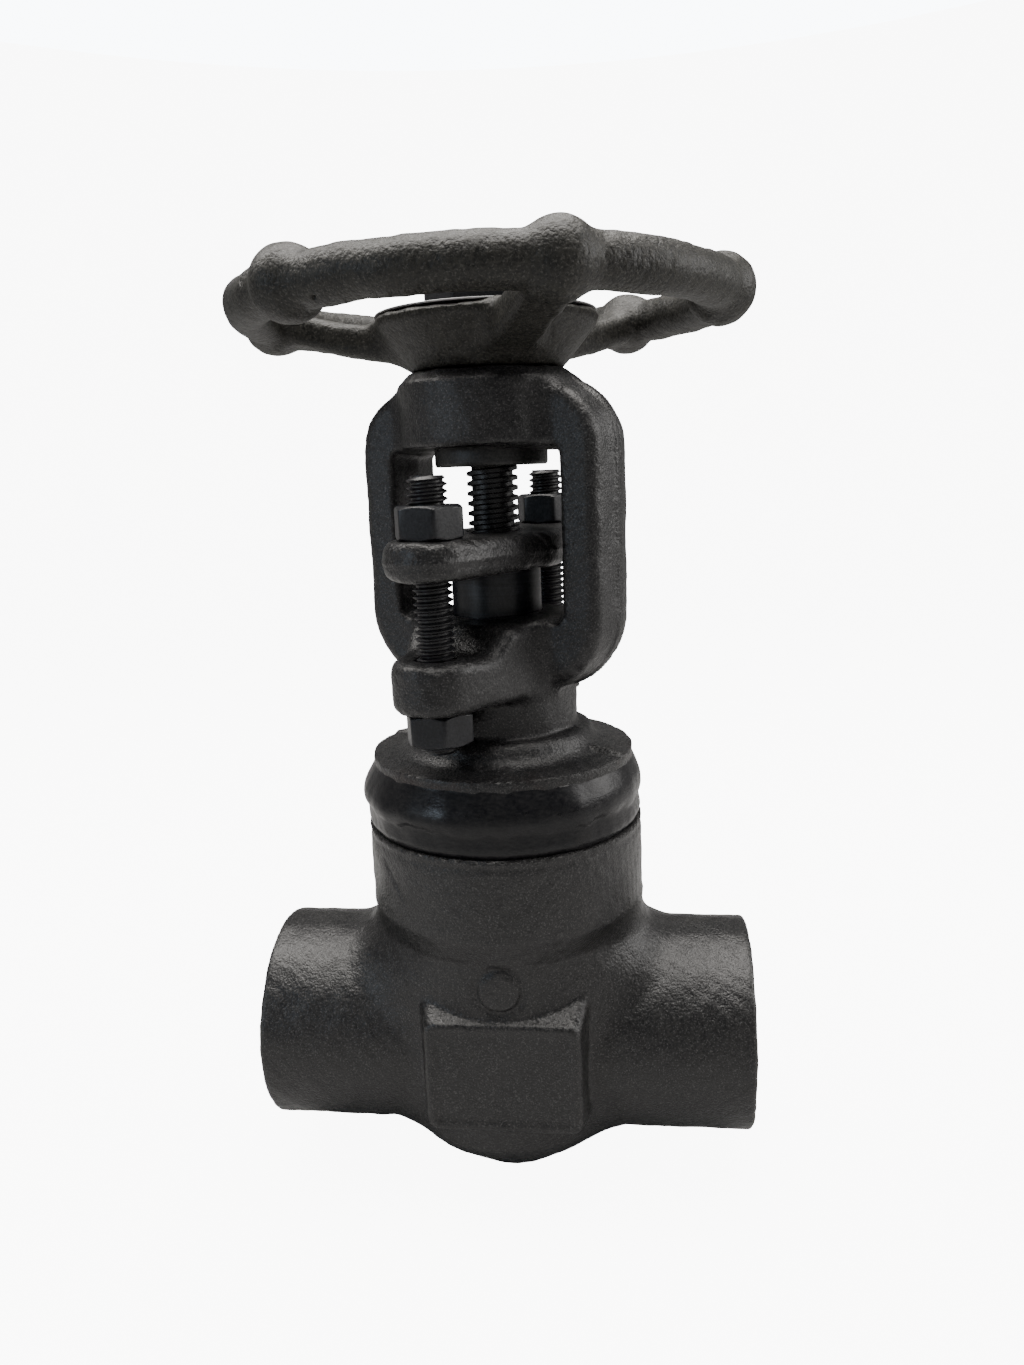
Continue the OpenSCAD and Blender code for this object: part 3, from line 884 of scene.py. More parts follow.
FORGED_BLACK = Finish(
    "forged_black", (0.0022, 0.0022, 0.0026), (0.0115, 0.0111, 0.0108), (0.30, 0.48),
    Grain.SHOT_BLASTED, specular=0.46, painted_glint=0.035,
)
BONNET_BLACK = Finish(
    "bonnet_black", (0.0022, 0.0022, 0.0027), (0.0112, 0.0109, 0.0109), (0.32, 0.50),
    Grain.SHOT_BLASTED, specular=0.42, painted_glint=0.035, tint=(0.026, 0.011, 0.007), tint_band=(59.0, 69.0),
)
WELD_BLACK = Finish(
    "weld_black", (0.0032, 0.0032, 0.0044), (0.0092, 0.0089, 0.0096), (0.26, 0.38),
    Grain.WELDED, specular=0.26, patch=6.0, tint=(0.0150, 0.0145, 0.0142), tint_band=(47.0, 60.0),
)
BOLT_BLACK = Finish(
    "bolt_black", (0.0040, 0.0045, 0.0062), (0.0110, 0.0118, 0.0145), (0.30, 0.46),
    Grain.SMOOTH, specular=0.34, patch=5.0,
)
THREAD_BLACK = Finish(
    "thread_black", (0.0045, 0.0045, 0.0054), (0.0160, 0.0160, 0.0178), (0.30, 0.46),
    Grain.SMOOTH, specular=0.42, patch=4.0,
)
FOLLOWER_BLACK = Finish(
    "follower_black", (0.0060, 0.0065, 0.0085), (0.0150, 0.0160, 0.0200), (0.28, 0.44),
    Grain.TURNED, specular=0.42,
)
WHEEL_GREY = Finish(
    "wheel_grey", (0.0060, 0.0060, 0.0050), (0.0215, 0.0205, 0.0168), (0.40, 0.58),
    Grain.SAND_CAST, specular=0.30, patch=7.0, painted_glint=0.016,
)
BUSH_DARK = Finish(
    "bush_dark", (0.0080, 0.0080, 0.0080), (0.0220, 0.0215, 0.0205), (0.38, 0.54),
    Grain.PRESSED, specular=0.40, patch=3.0,
)
PLATE_SILVER = Finish(
    "plate_silver", (0.20, 0.20, 0.205), (0.34, 0.34, 0.34), (0.34, 0.48),
    Grain.TURNED, metallic=1.0,
)
STAINLESS = Finish(
    "stainless", (0.30, 0.30, 0.31), (0.48, 0.48, 0.48), (0.22, 0.36),
    Grain.TURNED, metallic=1.0,
)
HARD_FACING = Finish(
    "hard_facing", (0.36, 0.36, 0.35), (0.55, 0.55, 0.53), (0.18, 0.30),
    Grain.TURNED, metallic=1.0,
)
GRAPHITE = Finish(
    "graphite", (0.018, 0.018, 0.019), (0.050, 0.050, 0.052), (0.35, 0.55),
    Grain.PRESSED, patch=3.0,
)


# ---------- pieces ----------


@dataclass(frozen=True)
class ForgedBody:
    """The body forging: neck, rounded middle, two socket ends, and a blank pad on the front."""

    half_run: float = 55.5
    end_r: float = 24.1
    socket_r: float = 13.6
    socket_depth: float = 13.0
    neck_r: float = 31.3
    neck_top: float = 52.0
    globe_r: float = 28.5
    depth: float = 34.5
    fillet: float = 12.0
    fillet_low: float = 4.0
    strip_z: float = 23.86
    pad_face: float = 29.2
    pad_middle: float = 1.0
    button: tuple[float, float] = (0.8, 21.3)
    button_r: float = 4.6
    passage_r: float = 6.6
    step: float = 0.735

    def outside(self) -> Form:
        """The forging's outside.

        The neck and the middle are one turned profile. The socket ends join it through a fillet whose
        radius grows from 4 under the pipe axis to its full size over the pipe, and their tops and
        undersides are trimmed flat along the parting line.

        Returns:
            The solid without its bores.
        """
        turned = turned_form(
            [
                (0, -self.depth - 0.1), (7.8, -self.depth), (11.9, -33.0), (24.6, -22.1), (27.4, -18.2),
                (self.globe_r, -12.5), (self.globe_r, 27.0), (self.neck_r, 33.6), (self.neck_r, self.neck_top),
                (0, self.neck_top),
            ],
            0.25,
        )
        ends = bar(self.end_r, -self.half_run, self.half_run, 1.0)
        trimmed = ends.cut(Form(lambda x, y, z: self.strip_z - np.abs(z)), 0.25)

        def radius(x: Array, y: Array, z: Array) -> Array:
            """The fillet's radius at a height: 4 + 8 s, with s rising smoothly from z = 4 to z = 24."""
            t = np.clip((z - 4) / 20, 0, 1)
            return self.fillet_low + (self.fillet - self.fillet_low) * t * t * (3 - 2 * t)

        return turned.join(trimmed, radius)

    def pad(self) -> Form:
        """The blank pad: a plate whose sides and top lean out towards the forging behind its face.

        Returns:
            The pad's solid.
        """

        def distance(x: Array, y: Array, z: Array) -> Array:
            """The greatest of the distances to the pad's faces, rounded where they meet."""
            behind = y + self.pad_face
            face = -behind
            sides = np.abs(x - self.pad_middle) - (16.9 + 0.28 * behind)
            top = (z - (13.8 + 0.78 * behind)) * 0.8
            foot = (-11.5 - z) * 0.9
            upright = -soft_min(-sides, soft_min(-top, -foot, 0.5), 2.6)
            return np.maximum(-soft_min(-face, -upright, 0.9), behind - 13.0)

        return Form(distance)

    def border(self) -> Form:
        """The low round border of the pad: a bead along a rounded rectangle just under the pad's face."""

        def distance(x: Array, y: Array, z: Array) -> Array:
            """The distance to the rectangle's outline in the face, less the bead's radius."""
            outline = rounded_box([np.abs(x - self.pad_middle) - 14.2, np.abs(z - 1.4) - 10.2], 1.6)
            return np.hypot(outline, y + self.pad_face - 0.45) - 0.95

        return Form(distance)

    def marked(self, solid: Form) -> Form:
        """The solid with the marks of its making: a button over the pad, a scar, and a groove under the weld.

        The button is where a cylinder along Y meets the neck's own cylinder, and the groove round it is a
        ring's tube laid on that cylinder.

        Args:
            solid: The plain forging.

        Returns:
            The marked forging.
        """
        at_x, at_z = self.button

        def button(x: Array, y: Array, z: Array) -> Array:
            """The button's distance."""
            disc = np.hypot(x - at_x, z - at_z) - self.button_r
            return np.maximum(disc, np.maximum(np.hypot(x, y) - 28.85, y + 20))

        def groove(x: Array, y: Array, z: Array) -> Array:
            """The distance to the groove round the button, on the front only."""
            tube = np.hypot(np.hypot(x - at_x, z - at_z) - self.button_r - 0.6, np.hypot(x, y) - 28.8) - 0.8
            return tube + 60 * (y > 0)

        def undercut(x: Array, y: Array, z: Array) -> Array:
            """The distance to the groove that the weld's toe leaves round the neck."""
            return np.hypot(np.hypot(x, y) - 31.75, z - 50.2) - 0.68

        scar = rod((-24.6, -20.0, 47.6), (-19.2, -25.2, 39.4), 0.55)
        return solid.join(Form(button), 0.3).cut(Form(groove), 0.5).cut(scar, 0.5).cut(Form(undercut), 0.4)

    def form(self) -> Form:
        """The whole forging with its pad, marks, sockets, slanted passages, seat bore and neck bore."""
        solid = self.marked(self.outside().join(self.pad(), 0.6).join(self.border(), 0.7))
        solid = solid.hammered(3.4, 0.03, 5).hammered(11.0, 0.045, 6)
        floor = self.half_run - self.socket_depth
        sockets = bar(self.socket_r, floor, 99.0)
        solid = solid.cut(Form(lambda x, y, z: sockets.distance(np.abs(x), y, z)), 0.7)
        solid = solid.cut(rod((-floor - 6, 0, 1.7), (0, 0, -13), self.passage_r), 0.4)
        solid = solid.cut(rod((floor + 6, 0, -1.9), (9, 0, 16), self.passage_r), 0.4)
        solid = solid.cut(drum(7.0, -20, 8), 0.3).cut(drum(17.0, 6, 60), 0.3).cut(drum(24.05, 34, 60), 0.3)
        return solid.cut(drum(9.4, 3, 7), 0.1)

    def build(self) -> bpy.types.Object:
        """Skins the forging and puts it on the valve's fixed body."""
        box = SkinMaker(self.form(), (-57.3, -34.2, -36.6), (57.6, 34.4, 54.2), self.step)
        nodes = ("body", "inlet_end", "outlet_end")
        return put_piece("body_forging", box.skin(), FORGED_BLACK, "valve_body", nodes)


@dataclass(frozen=True)
class BonnetYoke:
    """The bonnet forging: screwed spigot, round base, stuffing box with two stud lugs, arms and top boss."""

    base_r: float = 29.4
    base_top: float = 68.5
    box_r: float = 17.2
    box_top: float = 97.6
    half_w: float = 27.7
    crown: float = 1.8
    half_t: float = 9.0
    arm_low: float = 84.7
    shoulder: float = 146.2
    window: tuple[float, float, float] = (20.0, 97.6, 134.6)
    boss_r: float = 19.0
    boss_top: float = 149.6
    lug_z: tuple[float, float] = (82.3, 93.1)
    lug_r: float = 9.2
    packing_r: float = 9.9
    bush_r: float = 9.2
    step: float = 0.62

    def turned_part(self) -> Form:
        """Spigot and base, with a flared collar that carries the base up to the stuffing box."""
        base = turned_form(
            [
                (0, 36.0), (24.0, 36.0), (24.0, 52.0), (self.base_r, 52.0), (self.base_r, self.base_top - 0.3),
                (20.0, self.base_top + 0.5), (0, self.base_top + 0.5),
            ],
            0.45,
        )
        collar = drum(20.5, 58.0, 73.4, 2.2)
        return base.join(collar, 3.8).join(drum(self.box_r, 60.0, self.box_top, 0.6), 0.9)

    def arms(self) -> Form:
        """The closed frame of arms and bridge.

        Its outline is a rectangle with its own corner radius above and below; it grows by the crown
        towards the parting line, where a low flash stands out, and the window is cut from it.

        Returns:
            The frame's solid.
        """
        middle, half = (self.shoulder + self.arm_low) / 2, (self.shoulder - self.arm_low) / 2
        w, low, high = self.window

        def distance(x: Array, y: Array, z: Array) -> Array:
            """The frame's distance."""
            radius = np.where(z > middle, 12.5, 14.0)
            across, along = np.abs(x) - self.half_w, np.abs(z - middle) - half
            outline = rounded_box([across + radius, along + radius], radius)
            thick = np.abs(y)
            flash = 0.38 * np.exp(-(((thick - 0.95) / 0.5) ** 2))
            outline = outline - self.crown * (1 - thick / self.half_t) - flash
            rise = np.abs(z - (low + high) / 2) - (high - low) / 2
            opening = rounded_box([np.abs(x) - w + 3.0, rise + 3.0], 3.0)
            frame = -soft_min(-outline, -(thick - self.half_t), 2.6)
            return -soft_min(-frame, opening + 0.12 * (self.half_t - thick), 1.3)

        return Form(distance)

    def lugs(self) -> Form:
        """The two stud lugs: tangent sides from the box to a round end, and a top that falls from the box."""
        low, high = self.lug_z

        def distance(x: Array, y: Array, z: Array) -> Array:
            """The lugs' distance."""
            plan = two_ended_plan(x, y, self.box_r - 0.4, self.lug_r, STUD_REACH)
            t = np.clip((22.0 - np.abs(y)) / 6.5, 0, 1)
            top = high + (self.box_top - high + 0.2) * t * t * (3 - 2 * t)
            upright = np.maximum(z - top, low - z) * 0.96
            return -soft_min(-plan, -upright, 2.8)

        return Form(distance)

    def form(self) -> Form:
        """The whole forging in the yoke's own direction, with its bores."""
        boss = turned_form(
            [(0, 134.6), (self.boss_r, 134.6), (self.boss_r, 147.4), (16.8, self.boss_top), (0, self.boss_top)],
            0.7,
        )
        ridge = rod((22.6, 0.0, 69.3), (28.4, 0.0, 68.1), 0.8)
        ridges = Form(lambda x, y, z: ridge.distance(np.abs(x), y, z))
        solid = self.turned_part().join(self.lugs(), 2.0).join(self.arms(), 3.0)
        solid = solid.join(boss, 2.6).join(ridges, 0.6)
        strip = block((19.0, 0, 79.6), (2.15, 5.0, 4.0), 0.2)
        solid = solid.cut(Form(lambda x, y, z: strip.distance(np.abs(x), y, z)), 0.3)
        solid = solid.hammered(2.8, 0.028, 11).hammered(9.0, 0.05, 12)
        hole = drum(STUD_HOLE_R, 78, 100).moved(0, STUD_REACH, 0).mirrored_y()
        solid = solid.cut(hole, 0.8).cut(drum(15.0, 30, 57.5), 0.2).cut(drum(8.2, 50, 60.5), 0.2)
        solid = solid.cut(drum(5.7, 50, 75), 0.1).cut(drum(self.packing_r, 71.4, 102), 0.5)
        return solid.cut(drum(self.bush_r, 130, 152), 0.4)

    def build(self) -> bpy.types.Object:
        """Skins the forging, turns it to where it was screwed in, and puts it on the fixed body."""
        box = SkinMaker(self.form(), (-31.6, -37.6, 34.4), (31.8, 37.8, 151.2), self.step)
        skin = box.skin().turned(YOKE_TURN)
        return put_piece("bonnet_forging", skin, BONNET_BLACK, "valve_body", ("bonnet_yoke",))


@dataclass(frozen=True)
class SealWeld:
    """The weld bead between the neck and the bonnet's base: a flat lower run and a round upper one.

    Its section is given by knots, as shares of its height, and the radius at each.
    """

    low: float = 51.6
    high: float = 66.2
    inner: float = 29.0
    rows: int = 44
    columns: int = 520
    knots: tuple[float, ...] = (0.0, 0.04, 0.10, 0.16, 0.27, 0.39, 0.45, 0.54, 0.64, 0.75, 0.85, 0.94, 1.0)
    radii: tuple[float, ...] = (
        30.1, 30.3, 30.9, 31.15, 31.05, 31.0, 31.5, 31.8, 31.65, 31.15, 30.45, 29.8, 29.3,
    )
    even: int = 13

    def section(self, s: Array) -> Array:
        """The bead's radius at a share of its height: lines between the knots, evened by a running mean."""
        fine = np.linspace(0, 1, 200)
        lines = np.pad(np.interp(fine, self.knots, self.radii), self.even // 2, mode="edge")
        return np.interp(s, fine, np.convolve(lines, np.ones(self.even) / self.even, mode="valid"))

    def skin(self) -> Skin:
        """The bead: its section carried round, with scales, slow waves, a lean to one side and an uneven toe.

        To the section's radius at the share s of the height are added: scales, which are sines of the
        angle whose phase lags towards the edges of each run; five slow waves; and a lean, one wave round
        the neck that makes the upper run thicker on one side.

        Returns:
            A closed ring of places over the way round its section and the angle.
        """
        s = np.linspace(0, 1, self.rows)[:, None]
        a = np.linspace(0, 2 * np.pi, self.columns, endpoint=False)[None, :]
        draw = np.random.default_rng(21)
        slow = sum(
            draw.uniform(0.02, 0.07) * np.sin(k * a + draw.uniform(0, 6.3) + draw.uniform(-3, 3) * s)
            for k in (3, 5, 8, 13, 21)
        )
        scale_at = 41 * a + 4.0 * np.sin(2 * a) + 1.6 * np.sin(7 * a)
        upper = np.exp(-(((s - 0.66) / 0.22) ** 2)) * np.sin(scale_at - 33 * (s - 0.66) ** 2)
        lower = np.exp(-(((s - 0.18) / 0.12) ** 2)) * np.sin(1.35 * scale_at + 72 * (s - 0.18) ** 2)
        hold = np.sin(np.pi * s) ** 0.4
        lean = 0.55 * np.exp(-(((s - 0.5) / 0.25) ** 2)) * np.cos(a - 3.3)
        radius = self.section(s) + lean + hold * (slow + 0.022 * upper + 0.035 * lower)
        toe = 0.20 * np.sin(9 * a + 1.0) + 0.16 * np.sin(23 * a) + 0.10 * np.sin(41 * a + 2.0)
        z = self.low + (self.high - self.low) * s + hold * toe * np.exp(-(((s - 0.40) / 0.1) ** 2)) * 1.4
        z = z + 0.5 * toe * hold * np.clip((s - 0.8) / 0.2, 0, 1)
        r = np.vstack([self.inner + 0 * a, radius, self.inner + 0 * a])
        z = np.vstack([self.low + 0 * a, z, self.high + 0 * a])
        places = np.stack([r * np.cos(a), r * np.sin(a), z], axis=-1).reshape(-1, 3)
        return Skin(places, grid_faces(len(r), self.columns, ring_rows=True))

    def build(self) -> bpy.types.Object:
        """Puts the bead on the fixed body."""
        return put_piece("seal_bead", self.skin(), WELD_BLACK, "valve_body", ("seal_weld",), 60)


@dataclass(frozen=True)
class StudSet:
    """The two gland studs with their four nuts."""

    thread: Thread = Thread(3.95, 1.411, 0.78)
    low: float = 73.55
    high: float = 129.05
    nut: HexNut = HexNut(12.7, 6.75, 3.98)
    upper: float = 116.7
    lower: float = 75.55
    nut_turn: float = 40.0

    def build(self) -> list[bpy.types.Object]:
        """Puts both studs and their lower nuts on the fixed body, and their upper nuts on the gland.

        Returns:
            The six pieces.
        """
        pieces = []
        for side, y in (("front", -STUD_REACH), ("back", STUD_REACH)):
            stud = self.thread.rod(self.low, self.high, 0.8).moved(0, y, 0).turned(YOKE_TURN)
            node = (f"gland_stud_{side}",)
            pieces.append(put_piece(f"stud_{side}", stud, THREAD_BLACK, "valve_body", node, 50))
            for kind, z, body in (("gland", self.upper, "gland"), ("lug", self.lower, "valve_body")):
                nut = self.nut.skin().turned(self.nut_turn).moved(0, y, z).turned(YOKE_TURN)
                name, node = f"{kind}_hexagon_{side}", (f"{kind}_nut_{side}",)
                pieces.append(put_piece(name, nut, BOLT_BLACK, body, node, 28))
        return pieces


@dataclass(frozen=True)
class Gland:
    """The gland: a forged two-eyed flange over a turned follower."""

    low: float = 108.9
    high: float = 116.7
    middle_r: float = 15.5
    end_r: float = 9.6
    follower_r: float = 9.85
    follower_low: float = 89.0
    follower_high: float = 111.9
    follower_bore: float = 5.7
    step: float = 0.45

    def flange(self) -> Form:
        """The flange in the yoke's own direction: the two-ended plan between two heights, with soft edges."""

        def distance(x: Array, y: Array, z: Array) -> Array:
            """The flange's distance; its sides stand out a little at the parting line, half way up."""
            rise = np.abs(z - (self.low + self.high) / 2)
            plan = two_ended_plan(x, y, self.middle_r - 0.25, self.end_r - 0.25, STUD_REACH) + 0.09 * rise
            plan = plan - 0.18 * np.exp(-((rise / 0.5) ** 2))
            return -soft_min(-plan, -(rise - (self.high - self.low) / 2), 2.2)

        hole = drum(STUD_HOLE_R, 105, 120).moved(0, STUD_REACH, 0).mirrored_y()
        solid = Form(distance).hammered(2.6, 0.03, 31).hammered(8.0, 0.06, 32)
        solid = solid.cut(hole, 0.8).cut(drum(6.15, 100, 120), 0.6)
        return solid.cut(drum(self.follower_r + 0.05, 100, self.follower_high), 0.4)

    def build(self) -> list[bpy.types.Object]:
        """Puts the flange and the follower on the gland's body.

        Returns:
            The two pieces.
        """
        box = SkinMaker(self.flange(), (-17.4, -38.2, 107.4), (17.6, 38.4, 118.4), self.step)
        eyes = box.skin().turned(YOKE_TURN)
        flange = put_piece("gland_eyes", eyes, FORGED_BLACK, "gland", ("gland_flange",))
        r, bore, low, high = self.follower_r, self.follower_bore, self.follower_low, self.follower_high
        tube = lathe(softened([(bore, low), (r, low), (r, high), (bore, high)], 0.4))
        follower = put_piece("gland_sleeve", tube, FOLLOWER_BLACK, "gland", ("gland_follower",))
        return [flange, follower]


@dataclass(frozen=True)
class Stem:
    """The stem: button, shoulder, plain shank, rising thread, driving square and screwed end."""

    radius: float = 5.55
    thread_low: float = 114.6
    thread_high: float = 149.6
    square: float = 9.6
    end_r: float = 4.75
    top: float = 172.0

    def shank(self) -> Skin:
        """Everything under the thread, turned about the axis."""
        r = self.radius
        points = [
            (0, 9.3), (6.5, 9.3), (6.5, 12.3), (4.4, 12.3), (4.4, 46.0), (8.0, 46.0), (8.0, 51.3), (r, 53.75),
            (r, self.thread_low), (0, self.thread_low),
        ]
        return lathe(np.array(points), 96)

    def driving_end(self) -> Skin:
        """The square and the screwed end above it.

        The radius at an angle is the smaller of the square's, half its width / max(|cos|, |sin|), and the
        stem's own; above the square the round end takes over.

        Returns:
            A closed skin over the height and the angle.
        """
        a = np.linspace(0, 2 * np.pi, 96, endpoint=False)[None, :]
        flat = np.minimum(self.square / 2 / np.maximum(np.abs(np.cos(a)), np.abs(np.sin(a))), self.radius)
        level = np.array([149.4, 149.4, 150.4, 160.6, 161.0, 161.0, self.top - 1, self.top, self.top])[:, None]
        rounds = np.array([0, 1, 0, 0, 0, 1, 1, 1, 1])[:, None]
        size = np.array([0, self.radius, 0, 0, 0, self.end_r, self.end_r, self.end_r - 1, 0])[:, None]
        share = np.array([0, 0, 1, 1, 1, 0, 0, 0, 0])[:, None]
        r = rounds * size + share * flat
        places = np.stack([r * np.cos(a), r * np.sin(a), level + 0 * a], axis=-1).reshape(-1, 3)
        return Skin(places, grid_faces(len(level), a.size))

    def build(self) -> bpy.types.Object:
        """Puts the stem on the turning body."""
        thread = Thread(self.radius, 2.117, 1.06, (0.34, 0.50, 0.84))
        screw = thread.rod(self.thread_low, self.thread_high, 0.9, 64)
        skin = self.shank().with_skin(screw).with_skin(self.driving_end()).turned(YOKE_TURN)
        return put_piece("rising_stem", skin, THREAD_BLACK, "stem_and_wheel", ("stem",), 45)


@dataclass(frozen=True)
class YokeBush:
    """The collared bush under the bridge."""

    sleeve_r: float = 9.2
    collar_r: float = 12.2
    low: float = 130.4
    seat: float = 134.6
    high: float = 149.4
    bore: float = 5.62

    def build(self) -> bpy.types.Object:
        """Turns the bush's section and puts it on the fixed body."""
        section = softened(
            [
                (self.bore, self.low), (self.collar_r - 0.3, self.low), (self.collar_r, self.low + 0.6),
                (self.collar_r, self.seat), (self.sleeve_r, self.seat), (self.sleeve_r, self.high),
                (self.bore, self.high),
            ],
            0.35,
        )
        return put_piece("stem_bush", lathe(section), BUSH_DARK, "valve_body", ("yoke_bush",))


@dataclass(frozen=True)
class Handwheel:
    """The cast handwheel: round rim with six balls, three spokes and a conical hub."""

    rim_r: float = 48.3
    rim_tube: float = 4.7
    rim_z: float = 162.9
    ball_r: float = 6.95
    first: float = -67.5
    spoke_half: float = 5.25
    nicks: int = 14
    bore: float = 5.65
    step: float = 0.62

    def folded(self, x: Array, y: Array, count: int) -> tuple[Array, Array]:
        """The places turned into the sector of the nearest of count equal directions from the first spoke.

        Args:
            x: Places along X.
            y: Places along Y.
            count: Number of directions.

        Returns:
            The distance along and across that direction.
        """
        sector = 2 * np.pi / count
        angle = np.arctan2(y, x) - math.radians(self.first)
        angle = angle - sector * np.round(angle / sector)
        reach = np.hypot(x, y)
        return reach * np.cos(angle), reach * np.sin(angle)

    def rim(self) -> Form:
        """The round rim, and the balls set on it at equal distances."""

        def ring(x: Array, y: Array, z: Array) -> Array:
            """The rim's distance."""
            return np.hypot(np.hypot(x, y) - self.rim_r, z - self.rim_z) - self.rim_tube

        def balls(x: Array, y: Array, z: Array) -> Array:
            """The nearest ball's distance."""
            u, v = self.folded(x, y, 6)
            return np.sqrt((u - self.rim_r) ** 2 + v**2 + (z - self.rim_z) ** 2) - self.ball_r

        return Form(ring).join(Form(balls), 1.3)

    def spokes(self) -> Form:
        """The three spokes: flat bars that rise from the hub to the rim."""

        def distance(x: Array, y: Array, z: Array) -> Array:
            """The nearest spoke's distance."""
            u, v = self.folded(x, y, 3)
            t = np.clip((u - 14.0) / (self.rim_r - 14.0), 0, 1)
            middle, half = 156.1 + 6.7 * t**1.7, 3.7 - 0.5 * t
            width = self.spoke_half - 0.3 * np.sin(np.pi * t)
            across = rounded_box([np.abs(v) - width + 2.2, np.abs(z - middle) - half + 2.2], 2.2)
            return np.maximum(across, np.maximum(u - self.rim_r, 10.0 - u))

        return Form(distance)

    def nicked(self, solid: Form) -> Form:
        """The casting with a few short nicks on the rim's outside, each a thin slanted rod cut from it.

        Args:
            solid: The plain casting.

        Returns:
            The casting with its nicks.
        """
        draw = np.random.default_rng(44)
        outside = self.rim_tube + 0.05
        for angle, lean in zip(draw.uniform(0, 2 * np.pi, self.nicks), draw.uniform(-1.2, 1.6, self.nicks)):
            c, s = math.cos(angle), math.sin(angle)
            reach, z = self.rim_r + outside * math.cos(lean), self.rim_z + outside * math.sin(lean)
            long = draw.uniform(0.3, 1.3)
            start = (reach * c - long * s * 0.4, reach * s + long * c * 0.4, z - long * 0.6)
            end = (reach * c + long * s * 0.4, reach * s - long * c * 0.4, z + long * 0.6)
            solid = solid.cut(rod(start, end, 0.34), 0.3)
        return solid

    def form(self) -> Form:
        """The casting: hub, spokes and rim in one, with an uneven skin, nicks and the stem's bore."""
        hub = turned_form(
            [(0, 150.0), (15.8, 150.0), (20.5, 155.6), (23.3, 158.9), (23.6, 160.2), (22.9, 160.8), (0, 160.8)],
            0.45,
        )
        solid = hub.join(self.spokes(), 3.2).join(self.rim(), 2.6)
        solid = self.nicked(solid.hammered(4.2, 0.035, 41).hammered(13.0, 0.09, 42))
        return solid.cut(drum(self.bore, 149, 162), 0.3)

    def build(self) -> bpy.types.Object:
        """Skins the casting and puts it on the turning body."""
        box = SkinMaker(self.form(), (-56.8, -56.8, 148.6), (57.0, 57.0, 171.4), self.step)
        skin = box.skin()
        return put_piece("wheel_casting", skin, WHEEL_GREY, "stem_and_wheel", ("handwheel",))


@dataclass(frozen=True)
class WheelTop:
    """The blank round plate on the hub and the nut that holds the handwheel."""

    low: float = 160.8
    high: float = 161.5
    plate_r: float = 23.2
    nut: HexNut = HexNut(22.2, 8.2, 4.8)
    nut_turn: float = 37.0

    def build(self) -> list[bpy.types.Object]:
        """Puts the plate and the nut on the turning body.

        Returns:
            The two pieces.
        """
        r, top = self.plate_r, self.high
        section = softened(
            [
                (5.85, self.low + 0.05), (r - 1.2, self.low + 0.05), (r, self.low + 0.32), (r, top - 0.05),
                (r - 1.6, top), (r - 2.1, top - 0.18), (14.2, top - 0.18), (13.8, top), (5.85, top),
            ],
            0.15,
        )
        disc, hexagon = lathe(section, 160), self.nut.skin().turned(self.nut_turn).moved(0, 0, self.high)
        body = "stem_and_wheel"
        plate = put_piece("blank_plate", disc, PLATE_SILVER, body, ("nameplate",), 30)
        nut = put_piece("wheel_hexagon", hexagon, BOLT_BLACK, body, ("wheel_nut",), 28)
        return [plate, nut]


@dataclass(frozen=True)
class InnerParts:
    """The CAD parts inside the valve, which keep their shape and get their finishes."""

    rings: int = 5

    def build(self, nodes: dict[str, bpy.types.Object]) -> None:
        """Dresses each inner part.

        Args:
            nodes: The CAD nodes by name.
        """
        finishes = {
            "seat_facing": HARD_FACING, "disc": STAINLESS, "disc_nut": STAINLESS, "packing_seat": STAINLESS,
            **{f"packing_ring_{k + 1}": GRAPHITE for k in range(self.rings)},
        }
        for name, finish in finishes.items():
            nodes[name].data.materials.clear()
            nodes[name].data.materials.append(finish.material())
            LOG.info("%s: dressed in %s", name, finish.name)


# ---------- studio ----------


@dataclass(frozen=True)
class Lamp:
    """A square soft light: its name, place and side in millimetres, power in watts, and colour."""

    name: str
    at: Point
    side: float
    power: float
    colour: Colour


LAMPS = (
    Lamp("overhead", (20, 20, 800), 760, 17.0, WARM),
    Lamp("upper_left", (-430, 80, 660), 300, 3.0, WARM),
    Lamp("left_window", (-620, -520, 260), 120, 1.0, (0.72, 0.85, 1.0)),
    Lamp("right_fill", (640, 60, 330), 420, 3.2, (1.0, 0.98, 0.96)),
)


